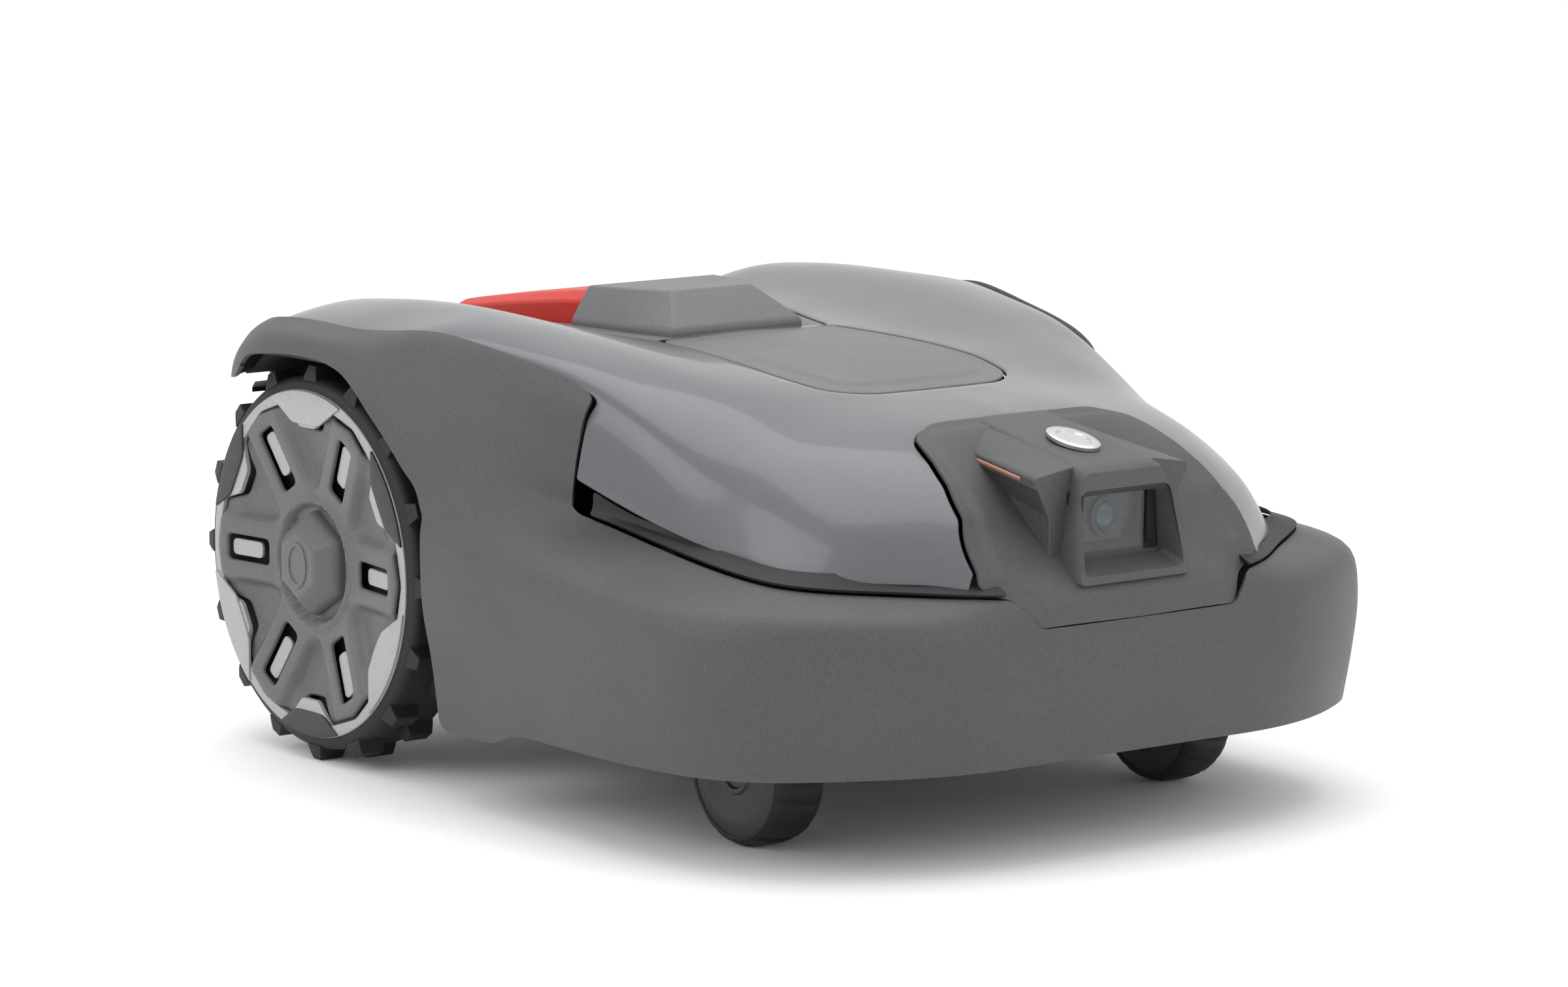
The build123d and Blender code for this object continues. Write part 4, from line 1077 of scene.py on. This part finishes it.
def make_materials():
    return {
        "body_grey": moulded("body_grey", srgb(66, 66, 67), 0.52, 0.16, 0.05),
        "cover_grey": moulded("cover_grey", srgb(84, 86, 90), 0.36, 0.10, 0.012, 1500, metallic=0.3,
                              coat=0.45),
        "deck_grey": moulded("deck_grey", srgb(92, 93, 94), 0.46, 0.14, 0.05),
        "stop_red": moulded("stop_red", srgb(184, 32, 17), 0.5, 0.07, 0.05),
        "inner_dark": moulded("inner_dark", srgb(20, 20, 21), 0.6, 0.15, 0.06),
        "gloss_black": moulded("gloss_black", srgb(40, 42, 44), 0.2, 0.05, 0.004, coat=0.3),
        "window_glass": glassy("window_glass", (0.62, 0.64, 0.66, 1.0)),
        "lens_glass": moulded("lens_glass", srgb(60, 104, 106), 0.1, 0.2, 0.004, 60, coat=0.8),
        "light_strip": moulded("light_strip", srgb(150, 100, 82), 0.28, 0.06, 0.01, coat=0.6),
        "emblem": brushed("emblem", srgb(198, 199, 201), 0.34, 0.01),
        "tyre_rubber": moulded("tyre_rubber", srgb(20, 20, 20), 0.62, 0.25, 0.10, 500),
        "rim_dark": moulded("rim_dark", srgb(44, 44, 45), 0.5, 0.15, 0.05),
        "ring_silver": moulded("ring_silver", srgb(158, 159, 160), 0.42, 0.12, 0.03, 1300, metallic=0.25),
        "hubcap_grey": moulded("hubcap_grey", srgb(88, 89, 90), 0.46, 0.14, 0.04),
        "caster_grey": moulded("caster_grey", srgb(52, 53, 54), 0.5, 0.15, 0.05),
        "steel": brushed("steel", srgb(176, 178, 181), 0.28),
        "seal_rubber": moulded("seal_rubber", srgb(30, 30, 31), 0.7, 0.2, 0.08, 600),
        "battery_case": moulded("battery_case", srgb(58, 60, 62), 0.5, 0.12, 0.05),
        "board_green": moulded("board_green", srgb(26, 84, 50), 0.35, 0.25, 0.03, 260, coat=0.4),
        "motor_steel": brushed("motor_steel", srgb(150, 152, 155), 0.34, 0.04),
        "contact_brass": brushed("contact_brass", srgb(206, 172, 92), 0.25, 0.03),
        "blade_steel": brushed("blade_steel", srgb(190, 193, 197), 0.2, 0.04),
        "button_grey": moulded("button_grey", srgb(132, 134, 136), 0.42, 0.1, 0.04),
    }


# ---- putting the pieces on the frame
MATERIALS = make_materials()


def place(obj, body, slot, *nodes, finish=None):
    """Give a piece the material of its finish, or else of its slot, put it on its body and hide the CAD
    nodes it stands for.
    """
    obj.data.materials.clear()
    obj.data.materials.append(MATERIALS[finish or slot])
    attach(obj, body)
    if nodes:
        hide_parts(*nodes)


def finish_cad_nodes():
    """Procedural finish on every CAD node, by the slot that the record gives it."""
    for row in frame["record"]["subparts"]:
        obj = frame["nodes"][row["node"]]
        mat = MATERIALS[row["material_slot"]]
        if not obj.material_slots:
            obj.data.materials.append(mat)
        for material_slot in obj.material_slots:
            material_slot.material = mat


def build_shell():
    place(make_cover(), "shell", "cover_grey", "top_cover")
    hatch = panel("hatch_skin", Raised(cover_surface, hatch_loop(GAP), 15, 5, 1.1), [hatch_loop(GAP)],
                  grid=3.5)
    place(hatch, "hatch", "deck_grey", "front_hatch")
    bar, lugs = make_hatch_gear()
    place(bar, "shell", "inner_dark")
    place(lugs, "hatch", "deck_grey")
    place(panel("deck_skin", cover_surface, [deck_loop(GAP), stop_loop(1.2)]), "shell", "deck_grey",
          "rear_deck")
    place(make_shell(), "shell", "body_grey", "lower_shell")
    place(make_rear_wall(), "shell", "body_grey")
    for piece in make_recess() + make_corner_plates() + [make_deck_lining()]:
        place(piece, "shell", "inner_dark")
    band, wall = make_arch_band(), make_arch_wall()
    for body, piece in (("shell", band), ("shell", mirror_object(band, "arch_band_right")),
                        ("chassis", wall), ("chassis", mirror_object(wall, "arch_wall_right"))):
        place(piece, body, "inner_dark")
    place(make_antenna(), "shell", "deck_grey", "antenna_housing")
    place(make_stop(), "stop_cap", "stop_red", "stop_button")


def build_nose():
    place(make_apron(), "shell", "body_grey", "nose_housing")
    place(make_hood(), "shell", "body_grey", "nose_housing")
    block, ring, glass, box, back = make_camera()
    place(block, "shell", "gloss_black", "camera_module")
    place(ring, "shell", "gloss_black")
    place(glass, "shell", "window_glass", finish="lens_glass")
    place(box, "shell", "inner_dark")
    place(back, "shell", "inner_dark")
    wing, strip = make_wing()
    for side, pair in (("left", (wing, strip)), ("right", (mirror_object(wing, "headlamp_wing_right"),
                                                           mirror_object(strip, "light_strip_right")))):
        place(pair[0], "shell", "body_grey", f"headlamp_brow_{side}")
        place(pair[1], "shell", "light_strip", "light_bars")
    place(make_badge(), "shell", "emblem", "nose_emblem")


WHEEL_FINISH = {
    "wheel_cover": ("hubcap_grey", "hubcap_grey"), "wheel_ring": ("hubcap_grey", "ring_silver"),
    "wheel_back": ("rim_dark", "rim_dark"), "wheel_plates": ("hubcap_grey", "ring_silver"),
    "wheel_wedges": ("rim_dark", "rim_dark"), "wheel_inserts": ("hubcap_grey", "ring_silver"),
    "wheel_hub": ("hubcap_grey", "hubcap_grey"), "hub_ring": ("hubcap_grey", "hubcap_grey"),
    "tyre": ("tyre_rubber", "tyre_rubber"),
}


def build_wheels():
    for obj in make_wheel_face() + [make_hub_ring(), make_tyre()]:
        kind = obj.name.removesuffix("_left")
        slot, finish = WHEEL_FINISH[kind]
        twin = mirror_object(obj, f"{kind}_right")
        for side, piece in (("left", obj), ("right", twin)):
            node = (f"drive_tyre_{side}",) if kind == "tyre" else (f"hubcap_{side}",)
            place(piece, f"drive_wheel_{side}", slot, *node, finish=finish)


def build_casters():
    for side, outward in (("left", 1), ("right", -1)):
        x = outward * CASTER_X
        place(make_caster_tread(f"caster_tyre_{side}", x), f"caster_roller_{side}", "tyre_rubber",
              f"caster_tread_{side}")
        place(make_caster_hub(f"caster_hub_{side}", x, outward), f"caster_roller_{side}", "caster_grey",
              f"caster_wheel_{side}")


# ---- floor, light and camera
LIGHTS = {  # name: (place, size, power), in metres and watts
    "overhead": ((0.2, 0.3, 2.6), 2.6, 34),
    "left_box": ((-2.4, 0.4, 1.5), 1.6, 14),
    "front_box": ((0.8, -3.0, 1.8), 1.8, 12),
}
LIGHT_TARGET = (0, 0, 0.12)
CAMERA_LENS = 134.85
CAMERA_AT = (-2.170, -2.833, 0.720)
CAMERA_DOWN, CAMERA_TURN = 8.75, -37.32  # degrees below level, and about Z


def make_floor():
    floor = to_object("floor", *slab((-9000, -9000, -20), (9000, 9000, 0)))
    white = (0.93, 0.93, 0.93, 1.0)
    floor.data.materials.append(moulded("floor_white", white, 0.8, 0.01, 0.05, 300, specular=0.05))


def make_lights():
    """White surroundings and three soft boxes."""
    world = bpy.data.worlds.new("studio")
    world.use_nodes = True
    world.node_tree.nodes["Background"].inputs["Color"].default_value = (1, 1, 1, 1)
    world.node_tree.nodes["Background"].inputs["Strength"].default_value = 1.08
    bpy.context.scene.world = world
    for name, (position, size, power) in LIGHTS.items():
        light = bpy.data.lights.new(name, "AREA")
        light.energy = power
        light.size = size
        lamp = bpy.data.objects.new(name, light)
        lamp.location = position
        aim = Vector(LIGHT_TARGET) - Vector(position)
        lamp.rotation_euler = aim.to_track_quat("-Z", "Y").to_euler()
        bpy.context.scene.collection.objects.link(lamp)


def make_view():
    lens = bpy.data.cameras.new("camera")
    lens.lens = CAMERA_LENS
    lens.clip_end = 60
    view = bpy.data.objects.new("camera", lens)
    view.location = CAMERA_AT
    view.rotation_euler = (radians(90 - CAMERA_DOWN), 0, radians(CAMERA_TURN))
    bpy.context.scene.collection.objects.link(view)
    bpy.context.scene.camera = view
    bpy.context.scene.view_settings.view_transform = "Standard"


finish_cad_nodes()
build_shell()
build_nose()
build_wheels()
build_casters()
make_floor()
make_lights()
make_view()
